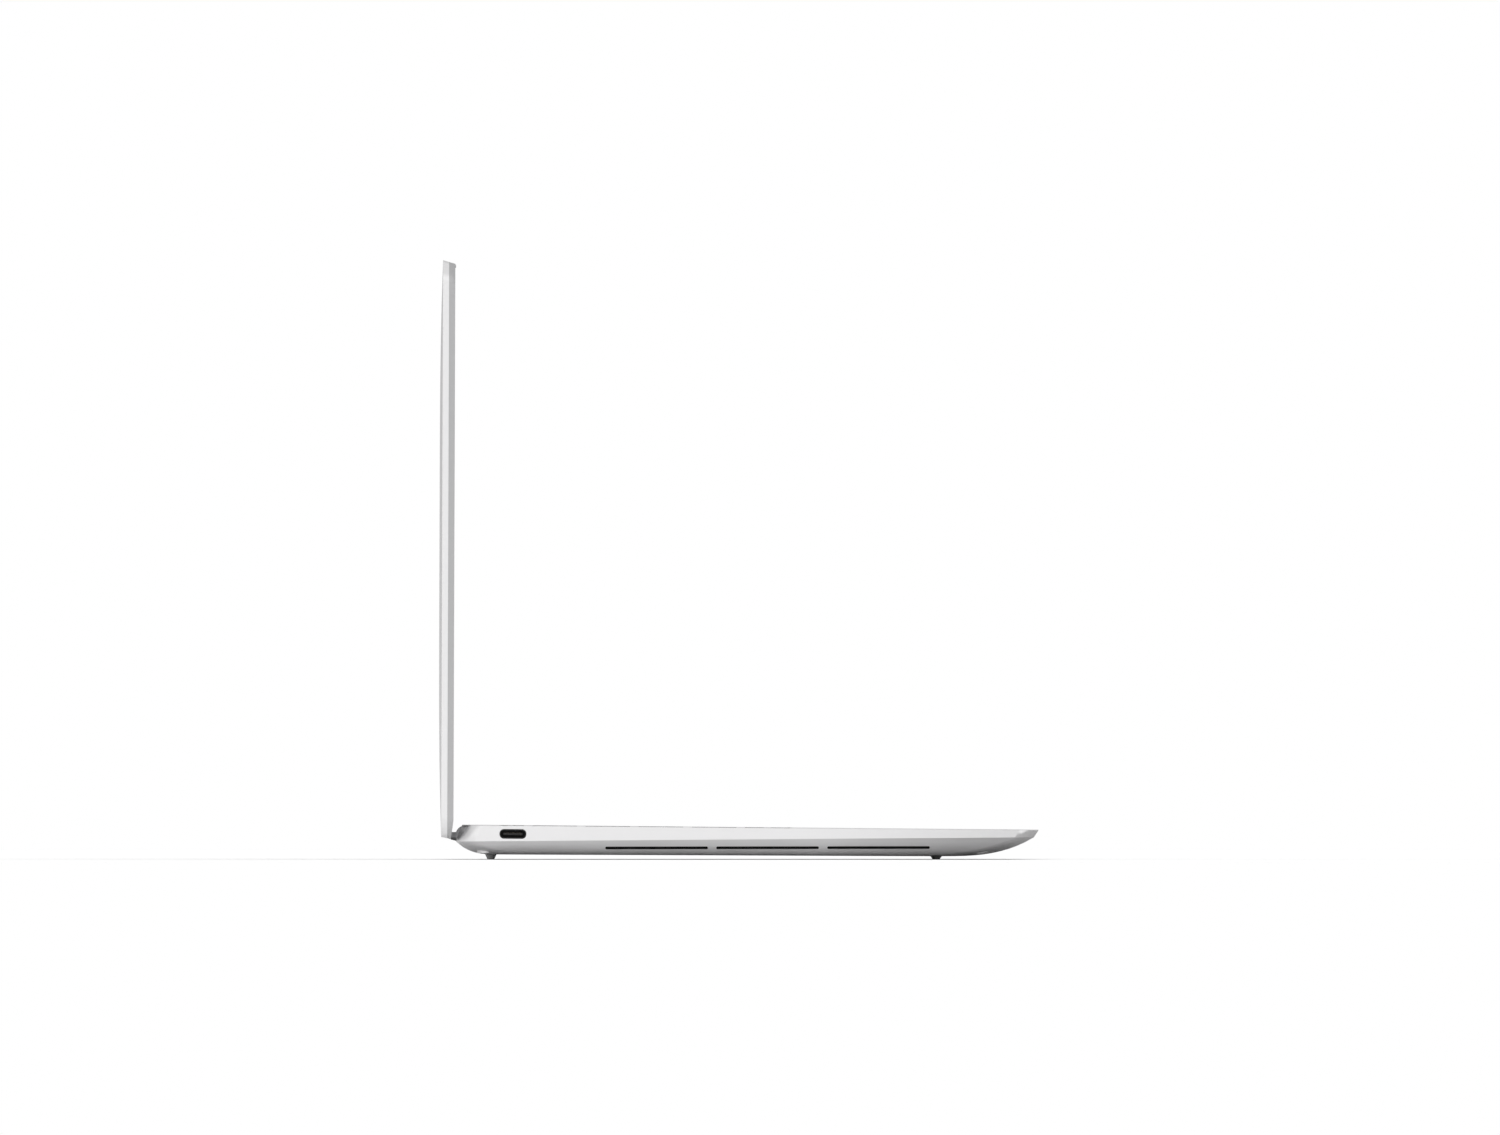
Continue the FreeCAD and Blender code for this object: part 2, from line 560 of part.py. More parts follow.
def make_top_case():
    """Deck with its side walls, keyboard bay, touchpad opening, sockets' openings and screw posts."""
    body = piece("top_case")
    loft(body, [deck_section(body), belly_section(body, 0)], ruled=True)
    hollow = [deck_section(body, "case_wall", "-deck_wall"), belly_section(body, 0, "case_wall")]
    loft(body, hollow, "SubtractiveLoft", ruled=True)
    for along, _ in SCREW_ROWS:
        level = screw_level(along)
        pad(body, circles(body, screw_places(along), "boss_radius", "-deck_wall"),
            f"-deck_wall - {level}", downwards=True)
        pocket(body, circles(body, screw_places(along), "screw_shaft", level), "screw_bite", upwards=True)
    bay = rounded(body, f"-{BAY_HALF}", BAY_HALF, BAY_FRONT, BAY_REAR, "key_corner + bay_margin")
    pocket(body, bay, "deck_wall")
    gap = "pad_gap"
    opening = rounded(body, f"-pad_width / 2 - {gap}", f"pad_width / 2 + {gap}", f"{PAD_FRONT} - {gap}",
                      f"{PAD_REAR} + {gap}", f"pad_corner + {gap}")
    pocket(body, opening, "deck_wall")
    port = rounded(body, "-port_place - port_width / 2", "-port_place + port_width / 2",
                   "-port_drop - port_height / 2", "-port_drop + port_height / 2", "0.46 * port_height",
                   HALF, plane="YZ")
    pocket(body, port, "case_width")
    hinge_trough(body)
    places = hinge_screw_places()
    pocket(body, circles(body, places, "hinge_screw", "-deck_wall"), "hinge_screw_bite", upwards=True)


def make_base_cover():
    """Bowl of the belly with its long slots, intake slots, bosses and screw holes."""
    body = piece("base_cover")
    loft(body, [belly_section(body, share) for share in RUN_SHARES])
    hollow = [belly_section(body, share, "case_wall", "belly_wall") for share in RUN_SHARES]
    loft(body, hollow, "SubtractiveLoft")
    slit = rounded(body, "-slit_rear - slit_length", "-slit_rear", "-slit_height / 2", "slit_height / 2",
                   "0.45 * slit_height", HALF, slope_at("slit_share"), "YZ",
                   ("0", f"-{depth_at('slit_share', '0')}"))
    cut = pocket(body, slit, "case_width")
    slots = row(body, cut, slit, 3, "slit_length + slit_gap")
    slots.Reversed = True
    document.recompute()
    span = f"({INTAKE_SLOTS - 1} * intake_pitch)"
    intake = rounded(body, f"fan_x - {span} / 2 - intake_width / 2", f"fan_x - {span} / 2 + intake_width / 2",
                     "-intake_rear - intake_length / 2", "-intake_rear + intake_length / 2",
                     "0.48 * intake_width", "-belly_rear")
    cut = pocket(body, intake, "3 * belly_wall", upwards=True)
    row(body, cut, intake, INTAKE_SLOTS, "intake_pitch")
    for along, sink in SCREW_ROWS:
        level = screw_level(along)
        seat = f"({level} - boss_floor)"
        places = screw_places(along)
        pad(body, circles(body, places, "boss_radius", level), f"{depth_at(1, along)} + {level} - {sink}",
            downwards=True)
        pocket(body, circles(body, places, "screw_shaft + screw_gap", level), "boss_floor + head_height")
        pocket(body, circles(body, places, "screw_head + screw_gap", seat), "belly_rear")
    hinge_trough(body)


def make_cover_screws():
    """Eight screws that hold the base cover."""
    body = piece("base_cover_screws")
    for along, _ in SCREW_ROWS:
        seat = f"({screw_level(along)} - boss_floor)"
        pad(body, circles(body, screw_places(along), "screw_head", seat), "head_height", downwards=True)
        pad(body, circles(body, screw_places(along), "screw_shaft", seat), "boss_floor + screw_bite")


def make_foot(label, place):
    """A rubber ridge from the belly to the floor."""
    body = piece(label)
    floor_low = f"(-deck_rear_height / {DECK_COS})"
    sections = []
    for width, low, slope, reach in (
            ("foot_bottom", floor_low, "-deck_tilt", "foot_length"),
            ("foot_top", f"-{depth_at(1, '0')}", slope_at(1), "foot_length + foot_top - foot_bottom")):
        half = f"({width} / 2)"
        side = f"(({reach}) / 2)"
        sections.append(rounded(body, f"-{side}", side, f"-{place} - {half}", f"-{place} + {half}",
                                f"0.8 * {half}", low, slope))
    loft(body, sections, ruled=True)


# Keyboard and touchpad

def make_keys():
    """Caps of one size share a body and its slide."""
    for node, west, east, south, north, step, count in KEY_LAYOUT:
        body = piece(node)
        cap = rounded(body, west, east, south, north, "key_corner", "-key_sink - key_height")
        made = pad(body, cap, "key_height", taper="-key_taper")
        if count > 1:
            row(body, made, cap, count, step)


def make_lattice():
    """Plate between the caps, with a flange under the deck and a window for each cap."""
    body = piece("lattice_blank", kept=False)
    side = f"({BAY_HALF} + flange_width)"
    flange = rounded(body, f"-{side}", side, f"{BAY_FRONT} - flange_width", f"{BAY_REAR} + flange_width",
                     "key_corner + bay_margin + flange_width", LATTICE_LOW)
    pad(body, flange, "lattice_flange")
    inner = f"({BAY_HALF} - seat_gap)"
    plate = rounded(body, f"-{inner}", inner, f"{BAY_FRONT} + seat_gap", f"{BAY_REAR} - seat_gap",
                    "key_corner + bay_margin - seat_gap", "-deck_wall")
    pad(body, plate, "deck_wall - lattice_sink")
    gap = "window_gap"
    windows = document.addObject("Part::Compound", "windows")
    for node, west, east, south, north, step, count in KEY_LAYOUT:
        cutter = piece("window_of_" + node, kept=False)
        window = rounded(cutter, f"{west} - {gap}", f"{east} + {gap}", f"{south} - {gap}", f"{north} + {gap}",
                         f"key_corner + {gap}", f"{LATTICE_LOW} - {gap}")
        made = pad(cutter, window, f"-{LATTICE_LOW} + 2 * {gap}")
        if count > 1:
            row(cutter, made, window, count, step)
        windows.Links = windows.Links + [cutter]
    lattice = document.addObject("Part::Cut", "keyboard_lattice")
    lattice.Label = "keyboard_lattice"
    lattice.Base = body
    lattice.Tool = windows
    document.recompute()
    pieces.append(lattice)


def make_backplate():
    """Shallow steel tray under the keys; its rim meets the lattice."""
    body = piece("keyboard_backplate")
    sides = (f"-{BAY_HALF} - flange_width", f"{BAY_HALF} + flange_width", f"{BAY_FRONT} - flange_width",
             f"{BAY_REAR} + flange_width")
    pad(body, rounded(body, *sides, "key_corner + bay_margin + flange_width", TRAY_LOW),
        f"{LATTICE_LOW} - {TRAY_LOW}")
    rim = "(flange_width - tray_rim)"
    inner = (f"-{BAY_HALF} - {rim}", f"{BAY_HALF} + {rim}", f"{BAY_FRONT} - {rim}", f"{BAY_REAR} + {rim}")
    pocket(body, rounded(body, *inner, f"key_corner + bay_margin + {rim}", LATTICE_LOW),
           f"{LATTICE_LOW} - {KEY_FLOOR}")


def make_touchpad():
    """Glass plate of the touchpad."""
    body = piece("touchpad_plate")
    plate = rounded(body, "-pad_width / 2", "pad_width / 2", PAD_FRONT, PAD_REAR, "pad_corner",
                    "-pad_sink - pad_sheet")
    pad(body, plate, "pad_sheet")


BRACKET_LOW = "(-pad_sink - pad_sheet - pad_room - bracket_sheet)"


def make_touchpad_bracket():
    """Pressed tray under the touchpad; its rim is fixed to the deck."""
    body = piece("touchpad_bracket")
    rim = "(pad_gap + bracket_rim)"
    outer = (f"-pad_width / 2 - {rim}", f"pad_width / 2 + {rim}", f"{PAD_FRONT} - {rim}", f"{PAD_REAR} + {rim}")
    pad(body, rounded(body, *outer, f"pad_corner + {rim}", BRACKET_LOW), f"-deck_wall - {BRACKET_LOW}")
    room = "pad_gap"
    inner = (f"-pad_width / 2 - {room}", f"pad_width / 2 + {room}", f"{PAD_FRONT} - {room}",
             f"{PAD_REAR} + {room}")
    pocket(body, rounded(body, *inner, f"pad_corner + {room}", "-deck_wall"),
           f"-deck_wall - {BRACKET_LOW} - bracket_sheet")


# Inside of the base

def make_battery():
    """Flat cells side by side under the touchpad's bracket."""
    body = piece("battery_pack")
    cell = f"((battery_width - {BATTERY_CELLS - 1} * battery_gap) / {BATTERY_CELLS})"
    middle = "(pad_place + pad_depth / 2)"
    west = "(-battery_width / 2)"
    outline_sketch = rounded(body, west, f"{west} + {cell}", f"-{middle} - battery_depth / 2",
                             f"-{middle} + battery_depth / 2", "pad_corner", BRACKET_LOW)
    made = pad(body, outline_sketch, "battery_height", downwards=True)
    row(body, made, outline_sketch, BATTERY_CELLS, f"{cell} + battery_gap")


BOARD_TOP = "(-port_drop - port_height / 2 + port_gap)"
BOARD_LOW = f"({BOARD_TOP} - board_sheet)"
CHIP_LOW = f"({BOARD_LOW} - chip_height)"
PLATE_LOW = f"({CHIP_LOW} - plate_sheet)"
WING = "(port_place + port_width)"
FAN_LEFT = "(fan_x - fan_size / 2)"
FAN_RIGHT = "(fan_x + fan_size / 2)"
FAN_REAR = "(-fan_place + fan_size / 2)"
FAN_LOW = f"({TRAY_LOW} - fan_height)"
CHIP_PLACE = "(board_front + board_rear) / 2"


def make_mainboard():
    """Board across the rear beside the fan, on spacers under the keyboard's backplate."""
    body = piece("mainboard")
    clear = f"({FAN_LEFT} - rotor_gap)"
    points = [("-board_half", f"-{WING}"), ("-board_left", f"-{WING}"), ("-board_left", "-board_front"),
              (clear, "-board_front"), (clear, "-board_rear"), ("-board_half", "-board_rear")]
    pad(body, outline(body, points, BOARD_LOW), "board_sheet")
    spacers = [(f"{clear} - {edge}", "-board_front + spacer_edge") for edge in ("spacer_edge", "board_left")]
    spacers += [(f"{clear} - {edge}", f"-{WING}") for edge in ("spacer_edge", "board_left")]
    pad(body, circles(body, spacers, "spacer_radius", BOARD_TOP), f"{TRAY_LOW} - {BOARD_TOP}")


def make_side_board():
    """Small board that carries the right socket."""
    body = piece("side_board")
    west = f"({FAN_RIGHT} + rotor_gap)"
    block(body, west, "board_half", "-side_board_front", "-board_rear", BOARD_LOW, BOARD_TOP)
    spacers = [(f"{west} + spacer_edge", "-side_board_front + spacer_edge"),
               (f"{west} + spacer_edge", f"-{WING}")]
    pad(body, circles(body, spacers, "spacer_radius", BOARD_TOP), f"{TRAY_LOW} - {BOARD_TOP}")


def make_chips():
    """Processor and memory on the mainboard's lower face."""
    body = piece("board_chips")
    for across, wide, deep in (("chip_x", "chip_width", "chip_depth"),
                               ("chip_x - memory_step", "memory_width", "memory_depth"),
                               ("chip_x - 2 * memory_step", "memory_width", "memory_depth")):
        block(body, f"{across} - {wide} / 2", f"{across} + {wide} / 2", f"-{CHIP_PLACE} - {deep} / 2",
              f"-{CHIP_PLACE} + {deep} / 2", CHIP_LOW, BOARD_LOW)


def make_heat_pipe():
    """Copper plate on the processor and a flat pipe that bends to the fins."""
    body = piece("heat_pipe")
    edge = "plate_edge"
    block(body, f"chip_x - chip_width / 2 - {edge}", f"chip_x + chip_width / 2 + {edge}",
          f"-{CHIP_PLACE} - chip_depth / 2 - {edge}", f"-{CHIP_PLACE} + chip_depth / 2 + {edge}",
          PLATE_LOW, CHIP_LOW)
    start = f"(chip_x - chip_width / 2 - {edge})"
    turn = f"(chip_x + chip_width / 2 + {edge})"
    middle = f"(-{CHIP_PLACE})"
    half = "(pipe_width / 2)"
    fins = f"({FAN_REAR} + fin_depth / 2)"
    bend = f"({FAN_LEFT} - pipe_width)"
    points = [(start, f"{middle} - {half}"), (f"{turn} + {half}", f"{middle} - {half}"),
              (f"{bend} + {half}", f"{fins} - {half}"), (FAN_RIGHT, f"{fins} - {half}"),
              (FAN_RIGHT, f"{fins} + {half}"), (f"{bend} - {half}", f"{fins} + {half}"),
              (f"{turn} - {half}", f"{middle} + {half}"), (start, f"{middle} + {half}")]
    pad(body, outline(body, points, PLATE_LOW), "pipe_height", downwards=True)


def make_fin_stack():
    """Thin fins between two sheets, on the heat pipe and behind the fan."""
    body = piece("fin_stack")
    rear = f"({FAN_REAR} + fin_depth)"
    top = "fin_top"
    west = f"({FAN_LEFT} + fin_pitch)"
    east = f"({FAN_RIGHT} - fin_pitch)"
    block(body, west, east, FAN_REAR, rear, PLATE_LOW, f"{PLATE_LOW} + fin_sheet")
    block(body, west, east, FAN_REAR, rear, f"-{top} - fin_sheet", f"-{top}")
    fin = rectangle(body, west, f"{west} + fin_sheet", FAN_REAR, rear, f"{PLATE_LOW} + fin_sheet")
    made = pad(body, fin, f"-{top} - 2 * fin_sheet - {PLATE_LOW}")
    count = int(round((value("fan_size") - 2 * value("fin_pitch")) / value("fin_pitch")))
    row(body, made, fin, count, f"(fan_size - 2 * fin_pitch - fin_sheet) / {count - 1}")


def make_fan_housing():
    """Flat snail of the fan: round room, inlet below, outlet to the fins."""
    body = piece("fan_housing")
    south = "(-fan_place - fan_size / 2)"
    shell = rounded(body, FAN_LEFT, FAN_RIGHT, south, FAN_REAR, "fan_corner", FAN_LOW)
    pad(body, shell, "fan_height")
    middle = [("fan_x", "-fan_place")]
    room = "rotor_radius + rotor_gap"
    inner = f"({FAN_LOW} + fan_sheet)"
    pocket(body, circles(body, middle, room, FAN_LOW), "fan_height - fan_sheet", upwards=True)
    outlet = rectangle(body, "fan_x - rotor_radius", "fan_x + rotor_radius", "-fan_place", FAN_REAR, FAN_LOW)
    pocket(body, outlet, "fan_height - fan_sheet", upwards=True)
    lid = rounded(body, FAN_LEFT, FAN_RIGHT, south, FAN_REAR, "fan_corner", FAN_LOW)
    pad(body, lid, "fan_sheet")
    pocket(body, circles(body, middle, "fan_inlet", inner), "fan_sheet")
    pad(body, circles(body, middle, "axle_radius", f"{TRAY_LOW} - fan_sheet"), "axle_length", downwards=True)


def make_fan_rotor():
    """Hub on the fan's axle with swept blades."""
    body = piece("fan_rotor")
    body.setExpression("Placement.Base.x", linked("fan_x"))
    bind(body, "Placement.Base.y", f"deck_rear_y - fan_place * {DECK_COS} - {ROTOR_LOW} * {DECK_SIN}")
    bind(body, "Placement.Base.z", f"deck_rear_height - fan_place * {DECK_SIN} + {ROTOR_LOW} * {DECK_COS}")
    middle = [("0", "0")]
    hub = circles(body, middle, "hub_radius")
    pad(body, hub, ROTOR_HEIGHT)
    root, tip = "(hub_radius - rotor_gap)", "rotor_radius"
    points = [(root, "0"), (f"0.94 * {tip}", "-blade_sweep"), (f"0.94 * {tip}", "blade_sheet - blade_sweep"),
              (root, "blade_sheet")]
    blade = outline(body, points)
    made = pad(body, blade, ROTOR_HEIGHT)
    ring(body, made, hub, FAN_BLADES)
    bore = circles(body, middle, "axle_radius + pin_gap", f"{ROTOR_HEIGHT}")
    pocket(body, bore, "axle_length")


ROTOR_LOW = f"({FAN_LOW} + fan_sheet + rotor_gap)"
ROTOR_HEIGHT = "(fan_height - 2 * fan_sheet - 2 * rotor_gap)"


def make_speakers():
    """Closed box with a round cone that faces down, one beside each row of slots."""
    for label, sign in (("left_speaker", "-"), ("right_speaker", "")):
        body = piece(label)
        across = f"({sign}speaker_x)"
        box = rounded(body, f"{across} - speaker_width / 2", f"{across} + speaker_width / 2",
                      "-speaker_place - speaker_depth / 2", "-speaker_place + speaker_depth / 2",
                      "speaker_corner", TRAY_LOW)
        pad(body, box, "speaker_height", downwards=True)
        cone = circles(body, [(across, "-speaker_place")], "speaker_cone", f"{TRAY_LOW} - speaker_height")
        pocket(body, cone, "speaker_recess", upwards=True)


def make_sockets():
    """Shell with a tongue, one in each side wall, standing on the board."""
    for label, sign in (("left_socket", "-"), ("right_socket", "")):
        body = piece(label)
        mouth = f"({HALF} - port_recess)"
        start = f"{sign}{mouth}"
        wide = "(port_width / 2 - port_gap)"
        tall = "(port_height / 2 - port_gap)"
        inward = sign == ""
        middle = ("-port_place", "-port_drop")
        shell = rounded(body, f"{middle[0]} - {wide}", f"{middle[0]} + {wide}", f"{middle[1]} - {tall}",
                        f"{middle[1]} + {tall}", f"0.92 * {tall}", start, plane="YZ")
        pad(body, shell, "port_length", downwards=inward)
        wide = f"({wide} - port_shell)"
        tall = f"({tall} - port_shell)"
        bore = rounded(body, f"{middle[0]} - {wide}", f"{middle[0]} + {wide}", f"{middle[1]} - {tall}",
                       f"{middle[1]} + {tall}", f"0.92 * {tall}", start, plane="YZ")
        pocket(body, bore, "port_length - socket_back", upwards=not inward)
        back = f"{sign}({mouth} - port_length + socket_back)"
        tongue = rectangle(body, "-port_place - tongue_width / 2", "-port_place + tongue_width / 2",
                           "-port_drop - tongue_height / 2", "-port_drop + tongue_height / 2", back, "YZ")
        pad(body, tongue, "port_length - socket_back - tongue_recess", downwards=not inward)


# Hinges

def hinge_screw_places():
    """Two screws on each side, through the brackets."""
    along = "-(hinge_inset + notch_radius + mount_depth) / 2"
    steps = ("hinge_screw_first", "hinge_screw_first + hinge_screw_step")
    return [(f"{sign}({across})", along) for sign in ("", "-") for across in steps]


AXIS = [("-hinge_inset", "-hinge_drop")]
BRACKET_START = "(leaf_end + hinge_gap)"
LEAF_START = "(cover_half + hinge_gap)"
SPLIT = "(lid_gap + frame_height)"


def make_hinge_brackets():
    """Steel barrel in the trough with a plate under the deck, one at each side."""
    for label, sign in (("left_hinge_bracket", "-"), ("right_hinge_bracket", "")):
        body = piece(label)
        outwards = sign == ""
        start = f"{sign}{BRACKET_START}"
        pad(body, circles(body, AXIS, "barrel_radius", start, "YZ"), f"bracket_end - {BRACKET_START}",
            downwards=not outwards)
        low = "(-deck_wall - mount_sheet)"
        rear = "-hinge_inset - pin_radius"
        edge = "-hinge_inset - notch_radius"
        neck = rectangle(body, "-mount_depth", rear, low, "-deck_wall", start, "YZ")
        pad(body, neck, f"bracket_end - {BRACKET_START}", downwards=not outwards)
        plate = rectangle(body, "-mount_depth", edge, low, "-deck_wall", start, "YZ")
        pad(body, plate, f"mount_outer - {BRACKET_START}", downwards=not outwards)
        pocket(body, circles(body, AXIS, "pin_radius + pin_gap", start, "YZ"), "mount_outer", upwards=outwards)
        places = [place for place in hinge_screw_places() if place[0].startswith("-") != outwards]
        pocket(body, circles(body, places, "hinge_screw", "-deck_wall"), "2 * mount_sheet")


def make_hinge_screws():
    """Four screws through the brackets into the deck."""
    body = piece("hinge_screws")
    seat = "(-deck_wall - mount_sheet)"
    pad(body, circles(body, hinge_screw_places(), "hinge_screw_head", seat), "hinge_screw_height",
        downwards=True)
    pad(body, circles(body, hinge_screw_places(), "hinge_screw", seat), "mount_sheet + hinge_screw_bite")


def make_hinge_leaves():
    """Steel eye on the hinge pin with an arm into the lid and a plate behind its chin."""
    for label, sign in (("left_hinge_leaf", "-"), ("right_hinge_leaf", "")):
        body = piece(label, in_lid=True)
        inwards = sign == "-"
        start = f"{sign}{LEAF_START}"
        length = f"leaf_end - {LEAF_START}"
        pad(body, circles(body, [("0", "0")], "barrel_radius", start, "YZ"), length, downwards=inwards)
        arm = rectangle(body, "-arm_front", "arm_back", "pin_radius", SPLIT, start, "YZ")
        pad(body, arm, length, downwards=inwards)
        plate = rectangle(body, "-leaf_depth - arm_front", "-arm_front / 2", SPLIT, f"{SPLIT} + leaf_sheet",
                          start, "YZ")
        pad(body, plate, f"leaf_outer - {LEAF_START}", downwards=inwards)
        pocket(body, circles(body, [("0", "0")], "pin_radius", start, "YZ"), length, upwards=not inwards)


def make_hinge_pins():
    """Pin from the hinge cover through leaf and bracket, one at each side."""
    for label, sign in (("left_hinge_pin", "-"), ("right_hinge_pin", "")):
        body = piece(label, in_lid=True)
        pad(body, circles(body, [("0", "0")], "pin_radius", f"{sign}pin_start", "YZ"),
            "bracket_end - pin_start", downwards=sign == "-")


def make_hinge_cover():
    """Round bar between the hinges with a web to the lid's chin."""
    body = piece("hinge_cover", in_lid=True)
    pad(body, circles(body, [("0", "0")], "barrel_radius", "-cover_half", "YZ"), "2 * cover_half")
    front = "lid_gap + chin_taper * (chin_start - web_front) / (chin_start + lid_tail)"
    points = [("-web_front", "0.5 * barrel_radius"), ("0.62 * barrel_radius", "0.78 * barrel_radius"),
              ("lid_tail", "lid_gap + chin_taper"), ("-web_front", front)]
    pad(body, outline(body, points, "-cover_half", "YZ"), "2 * cover_half")
    for side in ("-cover_half", "cover_half"):
        pocket(body, circles(body, [("0", "0")], "pin_radius", side, "YZ"), "cover_half - pin_start",
               upwards=side == "-cover_half")


# Lid

LID_BACK = "(lid_gap + frame_height + cover_height)"
BEZEL_BACK = "(lid_gap + bezel_sink + bezel_sheet)"
BEZEL_HALF = f"({HALF} - lip_width)"
BEZEL_TOP = "(-lid_reach + lip_width)"
BEZEL_END = "(-chin_start - seat_gap)"
SCREEN_TOP = "(-lid_reach + screen_top)"
SCREEN_END = f"({SCREEN_TOP} + screen_depth)"
CAMERA_PLACE = f"(({BEZEL_TOP} + {SCREEN_TOP} - panel_border) / 2)"


def lid_section(body, share, height, inset="0", corner="corner_radius"):
    """The lid's outline at a share of its side's height, from the inner face to the back."""
    side = f"({HALF} - {inset})"
    front = f"(-lid_reach - {share} * lid_front_slant + {inset})"
    rear = f"(lid_tail - {share} * lid_tail_slant - {inset})"
    return rounded(body, f"-{side}", side, front, rear, corner, height)


SPLIT_SHARE = "(frame_height / (frame_height + cover_height))"


def make_lid_back_cover():
    """Crowned shell of the lid."""
    body = piece("lid_back_cover", in_lid=True)
    loft(body, [lid_section(body, SPLIT_SHARE, SPLIT), lid_section(body, 1, LID_BACK)], ruled=True)
    crown = []
    for share in RUN_SHARES:
        rise = 1 - (1 - share) ** 3
        crown.append(lid_section(body, 1, f"{LID_BACK} + {rise} * crown_height", f"({share} * crown_run)",
                                 f"corner_radius + {share} * crown_corner"))
    loft(body, crown)
    room = lid_section(body, SPLIT_SHARE, SPLIT, "lid_wall", "corner_radius - lid_wall")
    pocket(body, room, "cover_height - lid_ceiling", upwards=True)


def make_display_frame():
    """Grey frame round the bezel and the panel, tapered at its chin."""
    body = piece("display_frame", in_lid=True)
    loft(body, [lid_section(body, 0, "lid_gap"), lid_section(body, SPLIT_SHARE, SPLIT)], ruled=True)
    end = "(2 * lid_tail)"
    fall = f"lid_gap + chin_taper * (chin_start + {end}) / (chin_start + lid_tail)"
    taper = [("-chin_start", "lid_gap"), ("-chin_start", "lid_gap - lid_tail"), (end, "lid_gap - lid_tail"),
             (end, fall)]
    pocket(body, outline(body, taper, HALF, "YZ"), "case_width")
    seat = rounded(body, f"-{BEZEL_HALF}", BEZEL_HALF, BEZEL_TOP, BEZEL_END, "corner_radius - lip_width",
                   "lid_gap")
    pocket(body, seat, "bezel_sink + bezel_sheet", upwards=True)
    edge = "(panel_border + seat_gap)"
    opening = rectangle(body, f"-screen_width / 2 - {edge}", f"screen_width / 2 + {edge}",
                        f"{SCREEN_TOP} - {edge}", f"{SCREEN_END} + {edge}", BEZEL_BACK)
    pocket(body, opening, "frame_height", upwards=True)
    half = "(camera_width / 2 + seat_gap)"
    room = rectangle(body, f"-{half}", half, f"{CAMERA_PLACE} - camera_depth / 2 - seat_gap",
                     SCREEN_TOP, BEZEL_BACK)
    pocket(body, room, "frame_height", upwards=True)
    for sign in ("-", ""):
        ends = [f"{sign}({LEAF_START} - arm_room)", f"{sign}(leaf_end + arm_room)"]
        slot = rectangle(body, ends[0], ends[1], "-arm_front - arm_room", end, "lid_gap")
        pocket(body, slot, "frame_height", upwards=True)


def make_display_bezel():
    """Black sheet round the lit area with a hole for the camera."""
    body = piece("display_bezel", in_lid=True)
    low = "(lid_gap + bezel_sink)"
    outer = rounded(body, f"-{BEZEL_HALF} + seat_gap", f"{BEZEL_HALF} - seat_gap", f"{BEZEL_TOP} + seat_gap",
                    f"{BEZEL_END} - seat_gap", "corner_radius - lip_width - seat_gap", low)
    pad(body, outer, "bezel_sheet")
    screen = rectangle(body, "-screen_width / 2", "screen_width / 2", SCREEN_TOP, SCREEN_END, low)
    pocket(body, screen, "bezel_sheet", upwards=True)
    hole = circles(body, [("0", CAMERA_PLACE)], "lens_radius + lens_gap", low)
    pocket(body, hole, "bezel_sheet", upwards=True)


def make_display_panel():
    """Flat panel behind the bezel."""
    body = piece("display_panel", in_lid=True)
    edge = "panel_border"
    block(body, f"-screen_width / 2 - {edge}", f"screen_width / 2 + {edge}", f"{SCREEN_TOP} - {edge}",
          f"{SCREEN_END} + {edge}", BEZEL_BACK, f"{BEZEL_BACK} + panel_sheet")


def make_camera():
    """Camera's board behind the bezel with its lens in the bezel's hole."""
    body = piece("camera_module", in_lid=True)
    block(body, "-camera_width / 2", "camera_width / 2", f"{CAMERA_PLACE} - camera_depth / 2",
          f"{CAMERA_PLACE} + camera_depth / 2", BEZEL_BACK, f"{BEZEL_BACK} + camera_sheet")
    pad(body, circles(body, [("0", CAMERA_PLACE)], "lens_radius", BEZEL_BACK), "bezel_sheet - lens_gap",
        downwards=True)


def make_bumper():
    """Rubber lip on the frame that meets the deck's edge."""
    body = piece("lid_bumper", in_lid=True)
    middle = "(-lid_reach + lip_width / 2)"
    strip = rounded(body, "-bumper_length / 2", "bumper_length / 2", f"{middle} - bumper_width / 2",
                    f"{middle} + bumper_width / 2", "0.4 * bumper_width", "lid_gap")
    pad(body, strip, "bumper_height", downwards=True)


def make_display_cable():
    """Flat cable from the panel over the chin to the hinge cover."""
    body = piece("display_cable", in_lid=True)
    block(body, "-cable_x - cable_width / 2", "-cable_x + cable_width / 2", f"{SCREEN_END} + panel_border",
          "-web_front", SPLIT, f"{SPLIT} + cable_sheet")


make_top_case()
make_base_cover()
make_cover_screws()
make_foot("rear_foot", "rear_foot_place")
make_foot("front_foot", "front_foot_place")
make_keys()
make_lattice()
make_backplate()
make_touchpad()
make_touchpad_bracket()
make_battery()
make_mainboard()
make_side_board()
make_chips()
make_heat_pipe()
make_fin_stack()
make_fan_housing()
make_fan_rotor()
make_speakers()
make_sockets()
make_hinge_brackets()
make_hinge_screws()
make_hinge_leaves()
make_hinge_pins()
make_hinge_cover()
make_lid_back_cover()
make_display_frame()
make_display_bezel()
make_display_panel()
make_camera()
make_bumper()
make_display_cable()

document.recompute()
for thing in document.Objects:
    if "Invalid" in thing.State or "Error" in thing.State:
        raise RuntimeError(f"{thing.Name} of {thing.Label} did not build: {thing.State}")
for body in pieces:
    if body.Shape.isNull() or not body.Shape.isValid():
        raise RuntimeError(f"{body.Label} has no valid shape")
os.makedirs("parts", exist_ok=True)
for body in pieces:
    body.Shape.exportStep(f"parts/{body.Label}.step")
print(len(pieces), "pieces; hinge axis at y", value(HINGE_Y), "z", value(HINGE_Z))
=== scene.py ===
"""Finishes, key legends, small trim and a studio for a thin silver laptop with its lid open."""

import json
import math

import bpy
from bpy.props import FloatProperty, FloatVectorProperty, PointerProperty
from mathutils import Matrix, Vector


